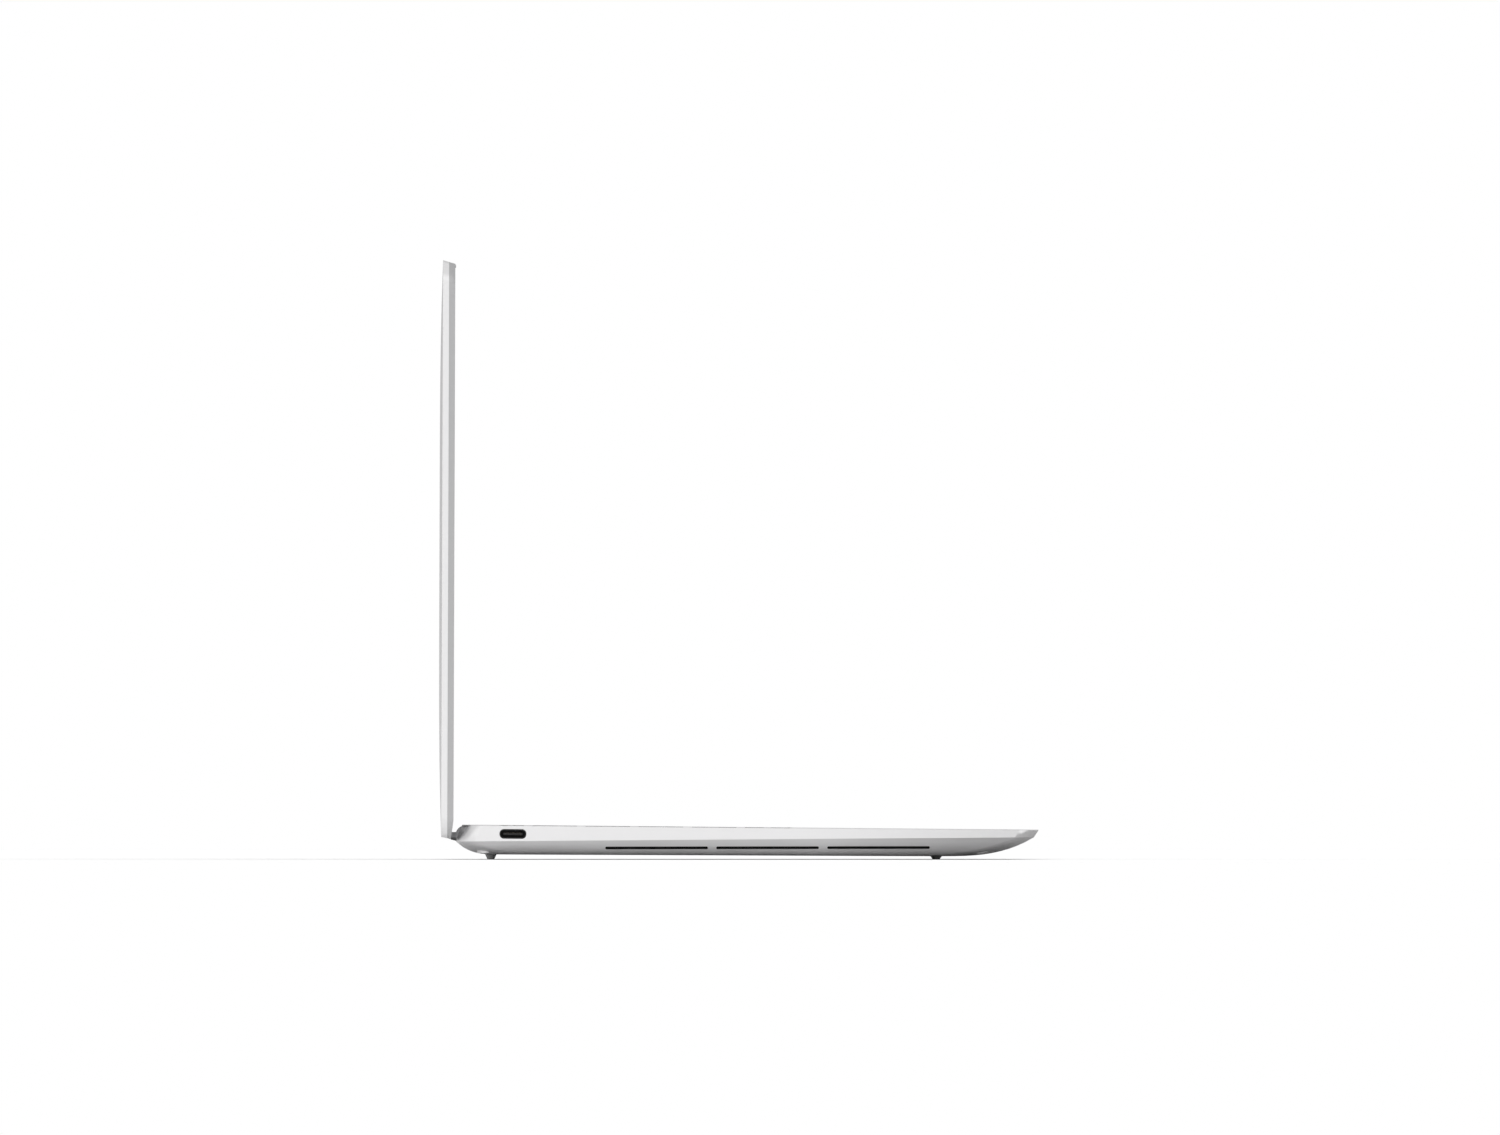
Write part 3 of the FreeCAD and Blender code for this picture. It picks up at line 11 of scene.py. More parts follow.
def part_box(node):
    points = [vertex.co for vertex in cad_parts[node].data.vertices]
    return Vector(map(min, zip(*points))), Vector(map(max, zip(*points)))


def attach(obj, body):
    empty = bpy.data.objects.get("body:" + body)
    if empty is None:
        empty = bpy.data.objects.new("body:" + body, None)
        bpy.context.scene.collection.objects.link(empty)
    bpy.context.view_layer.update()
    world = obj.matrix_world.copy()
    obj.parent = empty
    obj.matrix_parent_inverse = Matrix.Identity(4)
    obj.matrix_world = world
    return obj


bl_info = {
    "name": "Laptop looks",
    "version": (1, 0, 0),
    "blender": (4, 5, 0),
    "location": "View3D > Sidebar > Laptop",
    "description": "Finishes, key legends, small trim and a studio for a thin laptop",
    "category": "Object",
}

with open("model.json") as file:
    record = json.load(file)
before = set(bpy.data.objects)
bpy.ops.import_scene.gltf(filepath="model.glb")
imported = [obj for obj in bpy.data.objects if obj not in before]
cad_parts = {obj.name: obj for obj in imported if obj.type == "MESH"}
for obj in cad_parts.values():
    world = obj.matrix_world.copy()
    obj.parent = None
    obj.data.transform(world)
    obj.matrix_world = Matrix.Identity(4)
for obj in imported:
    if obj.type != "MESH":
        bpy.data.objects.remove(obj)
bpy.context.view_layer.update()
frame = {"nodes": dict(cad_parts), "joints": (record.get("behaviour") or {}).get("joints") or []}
NODES = frame["nodes"]
JOINTS = {joint["name"]: joint for joint in frame["joints"]}
MM = 0.001

# The deck's frame: its origin is the middle of the deck's rear edge.
DECK_TILT = math.asin(JOINTS["space_bar_press"]["axis"][1])
DECK_REAR = Vector((0, 94.72, 11.75)) * MM
DECK = Matrix.Translation(DECK_REAR) @ Matrix.Rotation(DECK_TILT, 4, "X")
# The lid's frame, drawn closed: its origin is the hinge axis.
LID_ANGLE = math.radians(90.3)
LID = Matrix.Translation(JOINTS["display_hinge"]["pos_m"]) @ Matrix.Rotation(DECK_TILT - LID_ANGLE, 4, "X")


# Noise mostly stays between these two values.
NOISE_LOW, NOISE_HIGH = 0.3, 0.7
CLOUD_SCALE = 22
PATCH_SCALE = 60
GLOSS_SPREAD = 0.12
GRAIN_HEIGHT = 0.03 * MM

# Softened edges and prints
WELD_REACH = 0.002 * MM
EDGE_ANGLE = math.radians(40)
EDGE_SEGMENTS = 2
UPRIGHT = 0.9
LINE_STEP = 1.2
CURVE_STEPS = 3
# The power sign's measures, as parts of its size
SIGN_SIDES = 32
SIGN_STROKE, SIGN_GAP = 0.09, 0.38
SIGN_BAR, SIGN_BAR_MIDDLE = 0.5, 0.3

# Lens, microphones and indicator on the bezel
CUP_SIDES = 32
CUP_HEIGHT, CUP_SINK = 0.06 * MM, 0.02 * MM
LENS_RADIUS, LENS_RIM, LENS_DEPTH = 1.0 * MM, 0.3 * MM, 0.03 * MM
LENS_STEP, LENS_RISES, LENS_MIDDLE = 0.2 * MM, (0.02 * MM, 0.015 * MM), 0.1 * MM
MICROPHONE_RADIUS, MICROPHONE_RIM, MICROPHONE_DEPTH = 0.45 * MM, 0.12 * MM, 0.03 * MM
MICROPHONE_SIDE = 14 * MM
INDICATOR_RADIUS, INDICATOR_RIM, INDICATOR_DEPTH = 0.35 * MM, 0.08 * MM, 0.01 * MM
INDICATOR_SIDE = 4 * MM

# Contacts of a socket
CONTACT_SIZE, CONTACT_EDGE = (3.6 * MM, 0.28 * MM, 0.05 * MM), 0.01 * MM
CONTACT_COUNT, CONTACT_PITCH = 10, 0.6 * MM
CONTACT_INWARD, CONTACT_LEVEL = 3.2 * MM, 0.355 * MM

# Dust screens behind the speaker slots, in the deck's frame
SCREEN_SIZE = (2.6 * MM, 113.6 * MM, 0.4 * MM)
SCREEN_RIM, SCREEN_RECESS = 0.25 * MM, 0.15 * MM
SCREEN_SIDE, SCREEN_AHEAD, SCREEN_DROP = 138.45 * MM, 104.6 * MM, 6.25 * MM

# Studio
FLOOR_SIZE = 8
LAMP_SPREAD = math.radians(60)
LAMP_TARGET = Vector((0, 0, 0.08))
CAMERA_AWAY, CAMERA_REACH = 1.5, 20
# Bright parts of the room that metal mirrors: axis, where light starts, where it is full, and how bright it gets
MIRROR_LIGHTS = (("X", -0.5, -0.9, 1.0), ("Z", 0.0, 0.7, 0.6))
MIRROR_SHADE = 0.42


# What a user would change

def colour(name, words, value):
    """A colour setting."""
    return FloatVectorProperty(name=name, description=words, subtype="COLOR", size=3, min=0, max=1, default=value)


def length(name, words, millimetres):
    """A length setting."""
    return FloatProperty(name=name, description=words, subtype="DISTANCE", unit="LENGTH", precision=5, min=0,
                         default=millimetres * MM)


class LaptopFinish(bpy.types.PropertyGroup):
    """Colours of the laptop."""

    shell: colour("Shell", "Bead-blasted aluminium of base and lid", (0.93, 0.925, 0.93))
    # The belly's tone, lower than the shell's, is painted shade of the underside.
    belly: colour("Belly", "Blasted aluminium of the cover below", (0.82, 0.815, 0.82))
    frame: colour("Display frame", "Grey band round the display", (0.55, 0.55, 0.555))
    # The hinge bar's dark tone is painted shade of the gap between base and lid.
    hinge: colour("Hinge bar", "Dark bar between base and lid", (0.2, 0.2, 0.205))
    caps: colour("Key caps", "Moulded caps of the keys", (0.035, 0.036, 0.038))
    ink: colour("Legends", "Print on the keys", (0.78, 0.78, 0.78))
    screen: colour("Screen", "Display that is switched off", (0.006, 0.0065, 0.008))
    rubber: colour("Rubber", "Feet and lid bumper", (0.55, 0.55, 0.55))


class LaptopSizes(bpy.types.PropertyGroup):
    """Small sizes that the looks need."""

    key_pitch: length("Key pitch", "Step from key to key", 19.05)
    function_pitch: length("Function pitch", "Step from function key to function key", 18.415)
    letter: length("Letter size", "Height of a letter's type", 5.0)
    word: length("Word size", "Height of the type of a word on a key", 3.3)
    small_word: length("Small word size", "Height of the type on a half-height key", 2.7)
    ink_depth: length("Ink depth", "Height of the print on a cap", 0.02)
    shell_edge: length("Shell edge", "Softened edge of the metal shells", 0.18)
    cap_edge: length("Cap edge", "Softened edge of the caps", 0.22)


class LaptopStudio(bpy.types.PropertyGroup):
    """Light and view of the studio."""

    width: length("Picture width", "Width of the picture on the object", 513.75)
    middle_y: FloatProperty(name="Middle along Y", description="Picture's middle", unit="LENGTH", default=-3.853 * MM)
    middle_z: FloatProperty(name="Middle height", description="Picture's middle", unit="LENGTH", default=99.94 * MM)
    rise: FloatProperty(name="Elevation", description="Camera's angle above the floor", subtype="ANGLE",
                        default=math.radians(0.045))
    floor: colour("Floor", "Pale studio floor", (0.965, 0.965, 0.965))
    # Painted shade: the floor's greyer tone in the metal, falling further ahead of the laptop.
    mirror: FloatProperty(name="Mirrored floor", description="Floor's tone in the metal", min=0, max=1, default=0.82)
    mirror_front: FloatProperty(name="Mirrored front", description="The same tone ahead of the laptop", min=0, max=1,
                                default=0.4)
    mirror_start: length("Fall's start", "Where the mirrored tone starts to fall, ahead of the middle", 30)
    mirror_end: length("Fall's end", "Where the mirrored tone has fallen, ahead of the middle", 112)
    ambient: FloatProperty(name="Ambient", description="Light from all round", min=0, default=0.7)
    key: FloatProperty(name="Key light", description="Strength of the main soft light", min=0, default=0.95)
    fill: FloatProperty(name="Fill light", description="Strength of the two softer lights", min=0, default=0.4)


# Finishes

def new_material(name):
    """A material with its node tree, surface node and object coordinates."""
    material = bpy.data.materials.new(name)
    material.use_nodes = True
    tree = material.node_tree
    place = tree.nodes.new("ShaderNodeTexCoord").outputs["Object"]
    return material, tree, tree.nodes["Principled BSDF"], place


def noise(tree, place, scale, detail=2.0):
    """A noise pattern; its scale counts grains in a metre."""
    made = tree.nodes.new("ShaderNodeTexNoise")
    made.inputs["Scale"].default_value = scale
    made.inputs["Detail"].default_value = detail
    tree.links.new(place, made.inputs["Vector"])
    return made.outputs["Fac"]


def stretched(tree, place, scale, turn=(0, 0, 0)):
    """Coordinates stretched along the axes and turned."""
    made = tree.nodes.new("ShaderNodeMapping")
    made.inputs["Scale"].default_value = scale
    made.inputs["Rotation"].default_value = turn
    tree.links.new(place, made.inputs["Vector"])
    return made.outputs["Vector"]


def ramp(tree, fac, stops):
    """A colour ramp through pairs of place and colour."""
    made = tree.nodes.new("ShaderNodeValToRGB")
    elements = made.color_ramp.elements
    while len(elements) < len(stops):
        elements.new(0.5)
    for element, (where, tint) in zip(elements, stops):
        element.position = where
        element.color = (*tint, 1)
    tree.links.new(fac, made.inputs["Fac"])
    return made.outputs["Color"]


def ranged(tree, value, start, end, low, high):
    """A value that runs from start to end, set between two numbers."""
    made = tree.nodes.new("ShaderNodeMapRange")
    for socket, number in (("From Min", start), ("From Max", end), ("To Min", low), ("To Max", high)):
        made.inputs[socket].default_value = number
    tree.links.new(value, made.inputs["Value"])
    return made.outputs["Result"]


def spread(tree, fac, low, high):
    """A noise pattern's value set between two numbers."""
    return ranged(tree, fac, NOISE_LOW, NOISE_HIGH, low, high)


def combined(tree, operation, first, second):
    """One value from two."""
    made = tree.nodes.new("ShaderNodeMath")
    made.operation = operation
    tree.links.new(first, made.inputs[0])
    tree.links.new(second, made.inputs[1])
    return made.outputs["Value"]


def along_axes(tree, place):
    """The three coordinates of a place or a direction."""
    made = tree.nodes.new("ShaderNodeSeparateXYZ")
    tree.links.new(place, made.inputs["Vector"])
    return made.outputs


def stripes(tree, place, scale):
    """Fine lines side by side."""
    made = tree.nodes.new("ShaderNodeTexWave")
    made.inputs["Scale"].default_value = scale
    tree.links.new(place, made.inputs["Vector"])
    return made.outputs["Fac"]


def blend(tree, fac, first, second):
    """A mix of two colours by a pattern."""
    made = tree.nodes.new("ShaderNodeMix")
    made.data_type = "RGBA"
    tree.links.new(fac, made.inputs["Factor"])
    tree.links.new(first, made.inputs["A"])
    tree.links.new(second, made.inputs["B"])
    return made.outputs["Result"]


def mixed(tree, fac, first, second):
    """A mix of two shaders by a value."""
    made = tree.nodes.new("ShaderNodeMixShader")
    tree.links.new(fac, made.inputs["Fac"])
    tree.links.new(first, made.inputs[1])
    tree.links.new(second, made.inputs[2])
    return made.outputs["Shader"]
def relief(tree, surface, fac, strength, height):
    """Bumps from a pattern; the height is in metres."""
    made = tree.nodes.new("ShaderNodeBump")
    made.inputs["Strength"].default_value = strength
    made.inputs["Distance"].default_value = height
    tree.links.new(fac, made.inputs["Height"])
    tree.links.new(made.outputs["Normal"], surface.inputs["Normal"])


def tinted(base, factor):
    """A colour made lighter or darker."""
    return tuple(min(1.0, part * factor) for part in base)


def toned(tree, fac, base, low, high):
    """A colour that a noise pattern makes darker and lighter."""
    return ramp(tree, fac, [(NOISE_LOW, tinted(base, low)), (NOISE_HIGH, tinted(base, high))])


def grained(name, base, metallic, rough, grain, bump, shade=0.05, stretch=None, **sockets):
    """A finish with fine grain, faint clouds of tone and uneven gloss."""
    material, tree, surface, place = new_material(name)
    fine = noise(tree, stretched(tree, place, stretch) if stretch else place, grain, 3)
    cloud = noise(tree, place, CLOUD_SCALE, 3)
    grain_tone = toned(tree, fine, base, 1 - shade, 1 + shade / 2)
    cloud_tone = toned(tree, cloud, base, 1 - shade / 2, 1 + shade / 3)
    patches = noise(tree, place, PATCH_SCALE, 1)
    tree.links.new(blend(tree, patches, grain_tone, cloud_tone), surface.inputs["Base Color"])
    gloss = spread(tree, fine, rough * (1 - GLOSS_SPREAD), rough * (1 + GLOSS_SPREAD))
    tree.links.new(gloss, surface.inputs["Roughness"])
    surface.inputs["Metallic"].default_value = metallic
    for socket, number in sockets.items():
        surface.inputs[socket.replace("_", " ")].default_value = number
    relief(tree, surface, fine, bump, GRAIN_HEIGHT)
    return material


def screen_glass(base):
    """Dark display behind glass with its faint grid of lines."""
    material, tree, surface, place = new_material("screen_glass")
    lines = ramp(tree, stripes(tree, place, 700), [(0.2, tinted(base, 0.8)), (0.8, tinted(base, 1.2))])
    cloud = toned(tree, noise(tree, place, 6), base, 0.9, 1.3)
    tree.links.new(blend(tree, noise(tree, place, 14), lines, cloud), surface.inputs["Base Color"])
    tree.links.new(spread(tree, noise(tree, place, 9), 0.1, 0.115), surface.inputs["Roughness"])
    surface.inputs["Specular IOR Level"].default_value = 0.22
    surface.inputs["Coat Weight"].default_value = 0.05
    surface.inputs["Coat Roughness"].default_value = 0.06
    return material
def circuit_board():
    """Dark solder mask with bright runs and pads."""
    material, tree, surface, place = new_material("circuit_board")
    cells = tree.nodes.new("ShaderNodeTexBrick")
    cells.inputs["Scale"].default_value = 90
    cells.inputs["Mortar Size"].default_value = 0.03
    cells.inputs["Color1"].default_value = (0.008, 0.03, 0.026, 1)
    cells.inputs["Color2"].default_value = (0.011, 0.038, 0.032, 1)
    cells.inputs["Mortar"].default_value = (0.03, 0.085, 0.06, 1)
    tree.links.new(stretched(tree, place, (1, 1, 1), (0, 0, math.radians(45))), cells.inputs["Vector"])
    pads = ramp(tree, noise(tree, place, 420, 0), [(0.66, (0.01, 0.035, 0.03)), (0.72, (0.5, 0.36, 0.14))])
    tree.links.new(blend(tree, noise(tree, place, 180, 0), cells.outputs["Color"], pads), surface.inputs["Base Color"])
    tree.links.new(spread(tree, noise(tree, place, 300), 0.3, 0.45), surface.inputs["Roughness"])
    relief(tree, surface, cells.outputs["Fac"], 0.2, GRAIN_HEIGHT)
    return material


def ribbon_film():
    """Amber film with fine conductors side by side."""
    material, tree, surface, place = new_material("ribbon_film")
    lines = stripes(tree, place, 420)
    tone = ramp(tree, lines, [(0.35, (0.19, 0.09, 0.02)), (0.65, (0.42, 0.22, 0.06))])
    tree.links.new(tone, surface.inputs["Base Color"])
    tree.links.new(spread(tree, noise(tree, place, 500), 0.3, 0.42), surface.inputs["Roughness"])
    relief(tree, surface, lines, 0.3, 0.02 * MM)
    return material


def woven_cloth():
    """Black cloth with crossing threads."""
    material, tree, surface, place = new_material("woven_cloth")
    threads = [stripes(tree, stretched(tree, place, (1, 1, 1), (math.radians(turn), 0, 0)), 900) for turn in (45, -45)]
    weave = combined(tree, "MULTIPLY", *threads)
    tone = ramp(tree, weave, [(0.1, (0.008, 0.008, 0.008)), (0.8, (0.035, 0.035, 0.035))])
    tree.links.new(tone, surface.inputs["Base Color"])
    tree.links.new(spread(tree, weave, 0.7, 0.9), surface.inputs["Roughness"])
    relief(tree, surface, weave, 0.4, 0.05 * MM)
    return material
def dress(material, *names):
    """Gives CAD nodes a finish."""
    for name in names:
        for slot in NODES[name].material_slots:
            slot.material = material


def soften(width, *names):
    """Rounds the sharp edges of CAD nodes without touching their meshes."""
    for name in names:
        weld = NODES[name].modifiers.new("joined_corners", "WELD")
        weld.merge_threshold = WELD_REACH
        edge = NODES[name].modifiers.new("soft_edges", "BEVEL")
        edge.width = width
        edge.segments = EDGE_SEGMENTS
        edge.limit_method = "ANGLE"
        edge.angle_limit = EDGE_ANGLE
        edge.harden_normals = True


# New pieces

def start_clean():
    """Leaves edit mode and selects nothing."""
    if bpy.context.object and bpy.context.object.mode != "OBJECT":
        bpy.ops.object.mode_set(mode="OBJECT")
    bpy.ops.object.select_all(action="DESELECT")


def select_faces(test):
    """Selects the faces of the active piece that pass a test, and goes to edit mode."""
    bpy.ops.object.mode_set(mode="EDIT")
    bpy.ops.mesh.select_mode(type="FACE")
    bpy.ops.mesh.select_all(action="DESELECT")
    bpy.ops.object.mode_set(mode="OBJECT")
    for face in bpy.context.object.data.polygons:
        face.select = test(face)
    bpy.ops.object.mode_set(mode="EDIT")


def faces_up(face):
    """True for the top faces of a piece that is drawn upright."""
    return face.normal.z > UPRIGHT


def placed(piece, matrix):
    """Moves a piece's mesh to its place and leaves its object at the origin."""
    piece.data.transform(piece.matrix_world)
    piece.matrix_world = Matrix.Identity(4)
    piece.data.transform(matrix)
    return piece


def joined(pieces, name):
    """One piece from several."""
    start_clean()
    for piece in pieces:
        piece.select_set(True)
    bpy.context.view_layer.objects.active = pieces[0]
    if len(pieces) > 1:
        bpy.ops.object.join()
    pieces[0].name = name
    pieces[0].data.name = name
    return pieces[0]


def finished(piece, material, body):
    """Gives a new piece its finish and its body."""
    piece.data.materials.clear()
    piece.data.materials.append(material)
    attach(piece, body)


def copies(piece, matrices):
    """Copies of a piece at several places, each with its own mesh; the piece itself is used up."""
    made = []
    for matrix in matrices:
        copy = piece.copy()
        copy.data = piece.data.copy()
        bpy.context.collection.objects.link(copy)
        copy.data.transform(matrix)
        made.append(copy)
    bpy.data.objects.remove(piece)
    return made


def extruded(height):
    """Extrudes the selected faces upwards, or downwards with a negative height."""
    bpy.ops.mesh.extrude_region_move(TRANSFORM_OT_translate={"value": (0, 0, height)})


def faced_out():
    """Turns the faces of the piece in edit mode outwards, and leaves edit mode."""
    bpy.ops.mesh.select_all(action="SELECT")
    bpy.ops.mesh.normals_make_consistent(inside=False)
    bpy.ops.object.mode_set(mode="OBJECT")


def printed(words, size, ink):
    """Words as a thin raised print, centred on the origin."""
    start_clean()
    bpy.ops.object.text_add()
    text = bpy.context.object
    text.data.body = words
    text.data.size = size
    text.data.align_x = "CENTER"
    text.data.align_y = "CENTER"
    text.data.space_line = LINE_STEP
    text.data.resolution_u = CURVE_STEPS
    text.data.extrude = ink / 2
    bpy.ops.object.convert(target="MESH")
    return bpy.context.object


def arrow(size, ink, turn):
    """A small triangle as a thin raised print."""
    start_clean()
    bpy.ops.mesh.primitive_circle_add(vertices=3, radius=size / 2, fill_type="NGON")
    piece = bpy.context.object
    bpy.ops.object.mode_set(mode="EDIT")
    bpy.ops.mesh.select_all(action="SELECT")
    extruded(ink)
    faced_out()
    return placed(piece, Matrix.Rotation(turn, 4, "Z"))


def power_sign(size, ink):
    """An open ring with a bar, as a thin raised print."""
    start_clean()
    bpy.ops.mesh.primitive_circle_add(vertices=SIGN_SIDES, radius=size / 2, fill_type="NGON")
    ring = bpy.context.object
    bpy.ops.object.mode_set(mode="EDIT")
    bpy.ops.mesh.select_all(action="SELECT")
    bpy.ops.mesh.inset(thickness=size * SIGN_STROKE)
    bpy.ops.mesh.delete(type="ONLY_FACE")
    bpy.ops.object.mode_set(mode="OBJECT")
    select_faces(lambda face: face.center.y > size * SIGN_GAP)
    bpy.ops.mesh.delete(type="FACE")
    bpy.ops.mesh.select_all(action="SELECT")
    extruded(ink)
    start_clean()
    bpy.ops.mesh.primitive_plane_add(size=1)
    bar = bpy.context.object
    stroke = Matrix.Diagonal((size * SIGN_STROKE, size * SIGN_BAR, 1, 1))
    bar.data.transform(Matrix.Translation((0, size * SIGN_BAR_MIDDLE, 0)) @ stroke)
    bpy.ops.object.mode_set(mode="EDIT")
    extruded(ink)
    bpy.ops.object.mode_set(mode="OBJECT")
    sign = joined([ring, bar], "power_sign")
    bpy.ops.object.mode_set(mode="EDIT")
    faced_out()
    return sign
# Legends of each key node, from left to right.
LETTER_ROWS = {
    "number_keys": ["~\n`", "!\n1", "@\n2", "#\n3", "$\n4", "%\n5", "^\n6", "&\n7", "*\n8", "(\n9", ")\n0", "_\n-",
                    "+\n="],
    "upper_letter_keys": [*"QWERTYUIOP", "{\n[", "}\n]", "|\n\\"],
    "home_letter_keys": [*"ASDFGHJKL", ":\n;", "\"\n'"],
    "lower_letter_keys": [*"ZXCVBNM", "<\n,", ">\n.", "?\n/"],
}
WORD_KEYS = {
    "backspace_key": "Backspace", "tab_key": "Tab", "caps_lock_key": "Caps", "enter_key": "Enter",
    "left_shift_key": "Shift", "right_shift_key": "Shift", "left_control_key": "Ctrl", "function_lock_key": "Fn",
    "left_system_key": "Sys", "left_option_key": "Alt", "right_option_key": "Alt", "right_control_key": "Ctrl",
}
FUNCTION_WORDS = ["Esc", *(f"F{number}" for number in range(1, 13)), "Del"]
ARROW_KEYS = {"up_arrow_key": 0, "left_arrow_key": 90, "down_arrow_key": 180, "right_arrow_key": 270}
KEY_NODES = [*LETTER_ROWS, *WORD_KEYS, *ARROW_KEYS, "function_keys", "page_keys", "space_bar", "power_button"]


def cap_tops(node, count=1, step=0.0):
    """Matrices that set a print on the top of each cap of a node."""
    low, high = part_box(node)
    middle = DECK.inverted() @ ((low + high) / 2)
    top = max((DECK.inverted() @ vertex.co).z for vertex in NODES[node].data.vertices)
    first = middle.x - step * (count - 1) / 2
    return [DECK @ Matrix.Translation((first + k * step, middle.y, top)) for k in range(count)]


# Operators

class LAPTOP_OT_shells(bpy.types.Operator):
    """Finishes the metal shells of base and lid"""

    bl_idname = "laptop.shells"
    bl_label = "Shells"

    def execute(self, context):
        finish, sizes = context.scene.laptop_finish, context.scene.laptop_sizes
        shell = grained("blasted_aluminium", finish.shell, metallic=1.0, rough=0.33, grain=5200, bump=0.1, shade=0.03)
        dress(shell, "top_case", "lid_back_cover", "keyboard_lattice")
        # The belly is the shell's aluminium set darker, as painted shade of the underside.
        belly = grained("belly_painted_shade", finish.belly, metallic=1.0, rough=0.4, grain=4200, bump=0.12, shade=0.04)
        dress(belly, "base_cover")
        band = grained("grey_aluminium", finish.frame, metallic=1.0, rough=0.42, grain=4200, bump=0.12, shade=0.05)
        dress(band, "display_frame")
        # Its dark tone is painted shade of the gap between base and lid.
        bar = grained("hinge_bar", finish.hinge, metallic=0.85, rough=0.45, grain=900, bump=0.1, shade=0.08,
                      stretch=(0.06, 1, 1))
        dress(bar, "hinge_cover")
        soften(sizes.shell_edge, "top_case", "display_frame")
        return {"FINISHED"}


class LAPTOP_OT_keyboard(bpy.types.Operator):
    """Finishes the caps and prints their legends"""

    bl_idname = "laptop.keyboard"
    bl_label = "Keyboard"

    def execute(self, context):
        finish, sizes = context.scene.laptop_finish, context.scene.laptop_sizes
        cap = grained("cap_plastic", finish.caps, metallic=0.0, rough=0.5, grain=2600, bump=0.25, shade=0.14,
                      Specular_IOR_Level=0.4)
        dress(cap, *KEY_NODES)
        soften(sizes.cap_edge, *KEY_NODES)
        ink = grained("legend_ink", finish.ink, metallic=0.0, rough=0.55, grain=3000, bump=0.05, shade=0.05)
        for node, words in LETTER_ROWS.items():
            tops = cap_tops(node, len(words), sizes.key_pitch)
            prints = [(word, sizes.letter if len(word) == 1 else sizes.word) for word in words]
            self.print_on(node, prints, tops, ink, sizes)
        tops = cap_tops("function_keys", len(FUNCTION_WORDS), sizes.function_pitch)
        self.print_on("function_keys", [(word, sizes.small_word) for word in FUNCTION_WORDS], tops, ink, sizes)
        tops = cap_tops("page_keys", 2, 2 * sizes.key_pitch)
        self.print_on("page_keys", [(word, sizes.small_word) for word in ("PgUp", "PgDn")], tops, ink, sizes)
        for node, word in WORD_KEYS.items():
            self.print_on(node, [(word, sizes.word)], cap_tops(node), ink, sizes)
        for node, degrees in ARROW_KEYS.items():
            sign = placed(arrow(sizes.small_word, sizes.ink_depth, math.radians(degrees)), cap_tops(node)[0])
            finished(joined([sign], node + "_legend"), ink, node + "_cap")
        sign = placed(power_sign(sizes.word, sizes.ink_depth), cap_tops("power_button")[0])
        finished(joined([sign], "power_button_legend"), ink, "power_button_cap")
        return {"FINISHED"}

    def print_on(self, node, prints, tops, ink, sizes):
        """One piece with the prints of all the caps of a node."""
        made = [placed(printed(word, size, sizes.ink_depth), top) for (word, size), top in zip(prints, tops)]
        finished(joined(made, node + "_legend"), ink, node + "_cap")


class LAPTOP_OT_touchpad(bpy.types.Operator):
    """Finishes the touchpad's glass"""

    bl_idname = "laptop.touchpad"
    bl_label = "Touchpad"

    def execute(self, context):
        finish, sizes = context.scene.laptop_finish, context.scene.laptop_sizes
        glass = grained("satin_glass", tinted(finish.shell, 0.8), metallic=0.25, rough=0.3, grain=6000, bump=0.05,
                        shade=0.03, Coat_Weight=0.3, Coat_Roughness=0.25)
        dress(glass, "touchpad_plate")
        soften(sizes.shell_edge, "touchpad_plate")
        return {"FINISHED"}


class LAPTOP_OT_display(bpy.types.Operator):
    """Finishes the display and adds the camera's lens and the microphones"""

    bl_idname = "laptop.display"
    bl_label = "Display"

    def execute(self, context):
        finish = context.scene.laptop_finish
        dress(screen_glass(finish.screen), "display_panel")
        black = grained("bezel_black", (0.006, 0.006, 0.007), metallic=0.0, rough=0.2, grain=1800, bump=0.04,
                        shade=0.2, Specular_IOR_Level=0.28, Coat_Weight=0.05)
        dress(black, "display_bezel", "camera_module")
        low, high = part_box("camera_module")
        middle = LID.inverted() @ ((low + high) / 2)
        front = (LID.inverted() @ low).z
        facing = LID @ Matrix.Translation((0, middle.y, front)) @ Matrix.Rotation(math.pi, 4, "X")
        lens = grained("lens_coating", (0.012, 0.012, 0.03), metallic=0.0, rough=0.08, grain=900, bump=0.02,
                       shade=0.3, Coat_Weight=1.0, Coat_Roughness=0.03)
        finished(placed(self.lens(), facing), lens, "lid")
        holes = [facing @ Matrix.Translation((side * MICROPHONE_SIDE, 0, 0)) for side in (-1, 1)]
        finished(joined(copies(self.microphone(), holes), "microphone_ports"), black, "lid")
        lamp = grained("indicator_lens", (0.5, 0.5, 0.48), metallic=0.0, rough=0.3, grain=2000, bump=0.05,
                       Transmission_Weight=0.2)
        spot = facing @ Matrix.Translation((INDICATOR_SIDE, 0, 0))
        finished(joined(copies(self.indicator(), [spot]), "camera_indicator"), lamp, "lid")
        return {"FINISHED"}

    def cup(self, name, radius, rim, depth):
        """A shallow round cup that stands on the bezel, with its mouth up."""
        start_clean()
        bpy.ops.mesh.primitive_cylinder_add(vertices=CUP_SIDES, radius=radius, depth=CUP_HEIGHT,
                                            location=(0, 0, -CUP_SINK))
        piece = bpy.context.object
        piece.name = name
        select_faces(faces_up)
        bpy.ops.mesh.inset(thickness=rim)
        extruded(-depth)
        bpy.ops.object.mode_set(mode="OBJECT")
        return placed(piece, Matrix.Identity(4))

    def lens(self):
        """The lens in its stepped mount."""
        piece = self.cup("camera_lens", LENS_RADIUS, LENS_RIM, LENS_DEPTH)
        select_faces(lambda face: faces_up(face) and face.center.length < LENS_MIDDLE)
        for rise in LENS_RISES:
            bpy.ops.mesh.inset(thickness=LENS_STEP)
            extruded(rise)
        bpy.ops.object.mode_set(mode="OBJECT")
        return piece

    def microphone(self):
        """A microphone's port."""
        return self.cup("microphone", MICROPHONE_RADIUS, MICROPHONE_RIM, MICROPHONE_DEPTH)

    def indicator(self):
        """The camera's small lamp."""
        return self.cup("indicator", INDICATOR_RADIUS, INDICATOR_RIM, INDICATOR_DEPTH)
